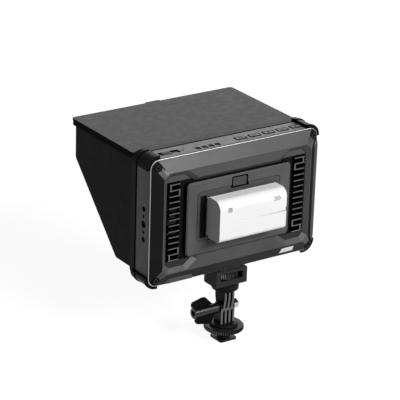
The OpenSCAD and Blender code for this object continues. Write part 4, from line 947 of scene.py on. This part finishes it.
# the side leaves' coat is a darker, duller copy of the roof's, painted as shade
flap_coat_painted_shade = grained("flap_coat_painted_shade", (0.006, 0.006, 0.007), 0.62, 0.35 * mm, 0.012 * mm, specular=0.05)
clip_plastic = grained("clip_plastic", (0.004, 0.004, 0.004), 0.24, 0.35 * mm, 0.001 * mm,
                       specular=0.03)
roof_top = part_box("hood_roof")[1].z
roof_thick = 3 * mm


def roof_lined(face):
    """Whether a face is under the leaf or on its edge, where the lining shows."""
    under = face.normal.z < -0.5 and face.calc_center_median().z > roof_top - roof_thick
    return under or abs(face.normal.z) < 0.5


roof = merged_copy("hood_roof")
two_toned(roof, roof_lined)
break_edges(roof, 0.3 * mm, segments=3)
finished(roof, "roof_panel", "roof", [hood_coat, lining], "hood_roof")
for side, inward in (("left", -1), ("right", 1)):
    flap = merged_copy("hood_flap_" + side)
    two_toned(flap, lambda face: face.normal.x * inward > 0.9)
    break_edges(flap, 0.25 * mm)
    finished(flap, "flap_" + side, "flap_" + side, [flap_coat_painted_shade, lining], "hood_flap_" + side)
dressed("roof_hinge_pin", pin_steel)
dressed("flap_hinge_pins", pin_steel)
deburred("hood_frame", "hood_ring", "head", clip_plastic, 0.25 * mm)

# ---------------------------------------------------------------- the mounting block
# A moulded block under the monitor with a rubber pad on top and a window at the rear, in which
# the knurled thumb wheel turns the steel mounting screw.
block_plastic = grained("block_plastic", (0.026, 0.026, 0.026), 0.34, 0.35 * mm, 0.003 * mm,
                        specular=0.05)
window_shade = grained("window_shade", (0.004, 0.004, 0.004), 0.5, 0.35 * mm, 0.003 * mm,
                       specular=0.05)
block_low, block_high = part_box("mount_block")
block_side_wall = 4 * mm
block_skin = 1 * mm
block_rear_lip = 0.2 * mm


def in_wheel_chamber(face):
    """Whether a face is inside the block, round the thumb wheel; these faces are painted near black
    as shade.
    """
    middle = face.calc_center_median()
    return (abs(middle.x) < block_high.x - block_side_wall
            and block_low.z + block_skin < middle.z < block_high.z - block_skin
            and middle.y < block_high.y - block_rear_lip)


block = merged_copy("mount_block")
# faces in the wheel's chamber are painted near black as shade
two_toned(block, in_wheel_chamber)
break_edges(block, 0.4 * mm, segments=3)
finished(block, "mount_block_moulding", "head", [block_plastic, window_shade], "mount_block")

# The thumb wheel and the lock wheel are turned and straight knurled. One flank of each knurl is
# painted lighter as a highlight, the other flank, down into the valleys, is painted near black as
# shade, and the faces are blackened.
# the lit flank of each knurl, a lighter copy of the blackened metal, painted as a highlight
thumb_knurl_painted_light = grained("thumb_knurl_painted_light", (0.18, 0.18, 0.18), 0.34, 0.2 * mm, 0.004 * mm, metallic=0.8,
                      specular=0.2)
lock_knurl_painted_light = grained("lock_knurl_painted_light", (0.055, 0.055, 0.055), 0.34, 0.2 * mm, 0.004 * mm, metallic=0.8,
                     specular=0.2)
face_black = grained("face_black", (0.015, 0.015, 0.015), 0.30, 0.2 * mm, 0.004 * mm, specular=0.06)
# the other flank of each knurl, painted near black as shade
knurl_flank_painted_shade = grained("knurl_flank_painted_shade", (0.006, 0.006, 0.006), 0.4, 0.2 * mm, 0.004 * mm,
                       specular=0.1)
knurl_depth = 0.9 * mm


def knurl_finish(face, reach, ridge_finish):
    """The finish of a knurled wheel's face, on a wheel of that radius."""
    middle = face.calc_center_median().xy
    if abs(face.normal.z) >= 0.5 or math.hypot(*middle) < reach - knurl_depth:
        return face_black
    turned = face.normal.cross(Vector((*middle, 0)).normalized()).z
    return knurl_flank_painted_shade if turned > 0.05 else ridge_finish


for node, body, ridge_finish in (("thumb_wheel", "thumb", thumb_knurl_painted_light),
                                 ("lock_wheel", "lock", lock_knurl_painted_light)):
    wheel_finishes = [ridge_finish, knurl_flank_painted_shade, face_black]
    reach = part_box(node)[1].x
    wheel = merged_copy(node)
    painted(wheel, wheel_finishes, lambda face: knurl_finish(face, reach, ridge_finish))
    break_edges(wheel, 0.10 * mm, segments=1)
    finished(wheel, node + "_knurled", body, wheel_finishes, node)

rubber = grained("pad_rubber", (0.010, 0.010, 0.010), 0.8, 0.6 * mm, 0.03 * mm, specular=0.2)
deburred("mount_pad", "rubber_pad", "head", rubber, 0.3 * mm)

screw_steel, screw_shader = finish("screw_steel", (0.56, 0.56, 0.58), 0.24, metallic=1.0)
screw_turns_and_painted_shade = stripes(screw_steel, coordinate(screw_steel, "Z"), camera_pitch, 0.5)
# the turns are raised, and also painted lighter and darker as light and shade on the thread's
# crests and roots
shade_between(screw_steel, screw_shader, screw_turns_and_painted_shade, (0.40, 0.40, 0.42), (0.62, 0.62, 0.64))
raise_grain(screw_steel, screw_shader, screw_turns_and_painted_shade, 0.15 * mm, 0.8)
dressed("mount_screw", screw_steel)

# ---------------------------------------------------------------- the tilting fork
# Two moulded forks whose fingers interleave round a steel bolt. The wing knob is moulded over the
# bolt's one end, and a domed nut sits on the other.
fork_plastic = grained("fork_plastic", (0.006, 0.006, 0.006), 0.28, 0.35 * mm, 0.003 * mm,
                       specular=0.06)
# a lighter copy of the fork plastic, painted as a highlight on the fingers' rear edges
finger_edge_painted_light = grained("finger_edge_painted_light", (0.125, 0.125, 0.126), 0.34, 0.35 * mm, 0.004 * mm,
                      specular=0.2)
fork_finishes = [fork_plastic, window_shade, finger_edge_painted_light]
fingers_half = 6.3 * mm     # the outer fingers' inner faces lie within this of the middle
fork_collar = 7.2 * mm
smallest_edge = 0.4 * mm * mm


def finger_finish(face, fingers_low, fingers_high):
    """The narrow slots are painted near black as shade, and the fingers' rear edges are painted
    lighter as a highlight.
    """
    normal = face.normal
    middle = face.calc_center_median()
    if abs(normal.x) > 0.9 and abs(middle.x) < fingers_half:
        return window_shade
    looks_back = normal.y > 0.6 and abs(normal.x) < 0.1
    on_finger = fingers_low < middle.z < fingers_high and face.calc_area() > smallest_edge
    return finger_edge_painted_light if looks_back and on_finger else fork_plastic


for node, body, foot_height in (("upper_fork", "head", 0), ("lower_fork", "base", 3.4 * mm)):
    low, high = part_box(node)
    fork = merged_copy(node)
    painted(fork, fork_finishes, lambda face: finger_finish(face, low.z + foot_height,
                                                            high.z - fork_collar))
    break_edges(fork, 0.28 * mm)
    finished(fork, node + "_moulding", body, fork_finishes, node)

knob_matt = grained("knob_matt", (0.003, 0.003, 0.003), 0.34, 0.35 * mm, 0.003 * mm, specular=0.01)
knob_gloss = grained("knob_gloss", (0.005, 0.005, 0.005), 0.24, 0.35 * mm, 0.0003 * mm,
                     specular=0.38)
barrel_radius = 5.3 * mm
knob_low, knob_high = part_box("wing_knob")
pivot_level = (knob_low.z + knob_high.z) / 2


def on_barrel(face):
    """Whether a face is on the glossy barrel round the bolt, and not on a matt wing."""
    middle = face.calc_center_median()
    return math.hypot(middle.y, middle.z - pivot_level) < barrel_radius


wings = merged_copy("wing_knob")
two_toned(wings, on_barrel)
break_edges(wings, 0.5 * mm, segments=3)
finished(wings, "wing_knob_moulding", "knob", [knob_matt, knob_gloss], "wing_knob")
nut_metal = grained("nut_metal", (0.50, 0.50, 0.50), 0.16, 0.2 * mm, 0.002 * mm, metallic=1.0)
deburred("pivot_nut", "domed_nut", "base", nut_metal, 0.2 * mm)
dressed("pivot_bolt", pin_steel)

# ---------------------------------------------------------------- the shoe foot
# A square foot of blackened steel with a threaded stem. The lock wheel runs down the stem and
# presses the washer on the shoe's rails.
stem_radius = 4.5 * mm
thread_root = 4.02 * mm
stem_start = 3 * mm
stem_slack = 0.1 * mm
foot = merged_copy("shoe_foot")
stem_skin = [v for v in foot.verts if v.co.z > stem_start
             and abs(math.hypot(v.co.x, v.co.y) - stem_radius) < stem_slack]
bmesh.ops.scale(foot, verts=stem_skin,
                vec=(thread_root / stem_radius, thread_root / stem_radius, 1))
break_edges(foot, 0.25 * mm)
finished(foot, "foot_and_stem", "base", [black_steel], "shoe_foot")

# The thread is one ridge, four-sided in section, wound up the stem.
turns, steps, lead = 9, 32, 1.0 * mm
ridge_root, ridge_crest = 3.95 * mm, 4.44 * mm
thread = bmesh.new()
profile = [thread.verts.new((radius, 0, height)) for radius, height in (
    (ridge_root, 3.7 * mm), (ridge_crest, 4.0 * mm), (ridge_crest, 4.12 * mm),
    (ridge_root, 4.45 * mm))]
ring = [thread.edges.new(ends) for ends in zip(profile, profile[1:] + profile[:1])]
thread.faces.new(profile)
last = bmesh.ops.spin(thread, geom=ring, cent=(0, 0, 0), axis=(0, 0, 1),
                      dvec=(0, 0, lead / steps), angle=2 * math.pi * turns, steps=turns * steps)
thread.faces.new([g for g in last["geom_last"] if isinstance(g, bmesh.types.BMVert)])
bmesh.ops.recalc_face_normals(thread, faces=thread.faces)
finished(thread, "stem_thread", "base", [black_steel])

deburred("clamp_washer", "clamp_ring_turned", "clamp_ring", black_steel, 0.2 * mm)
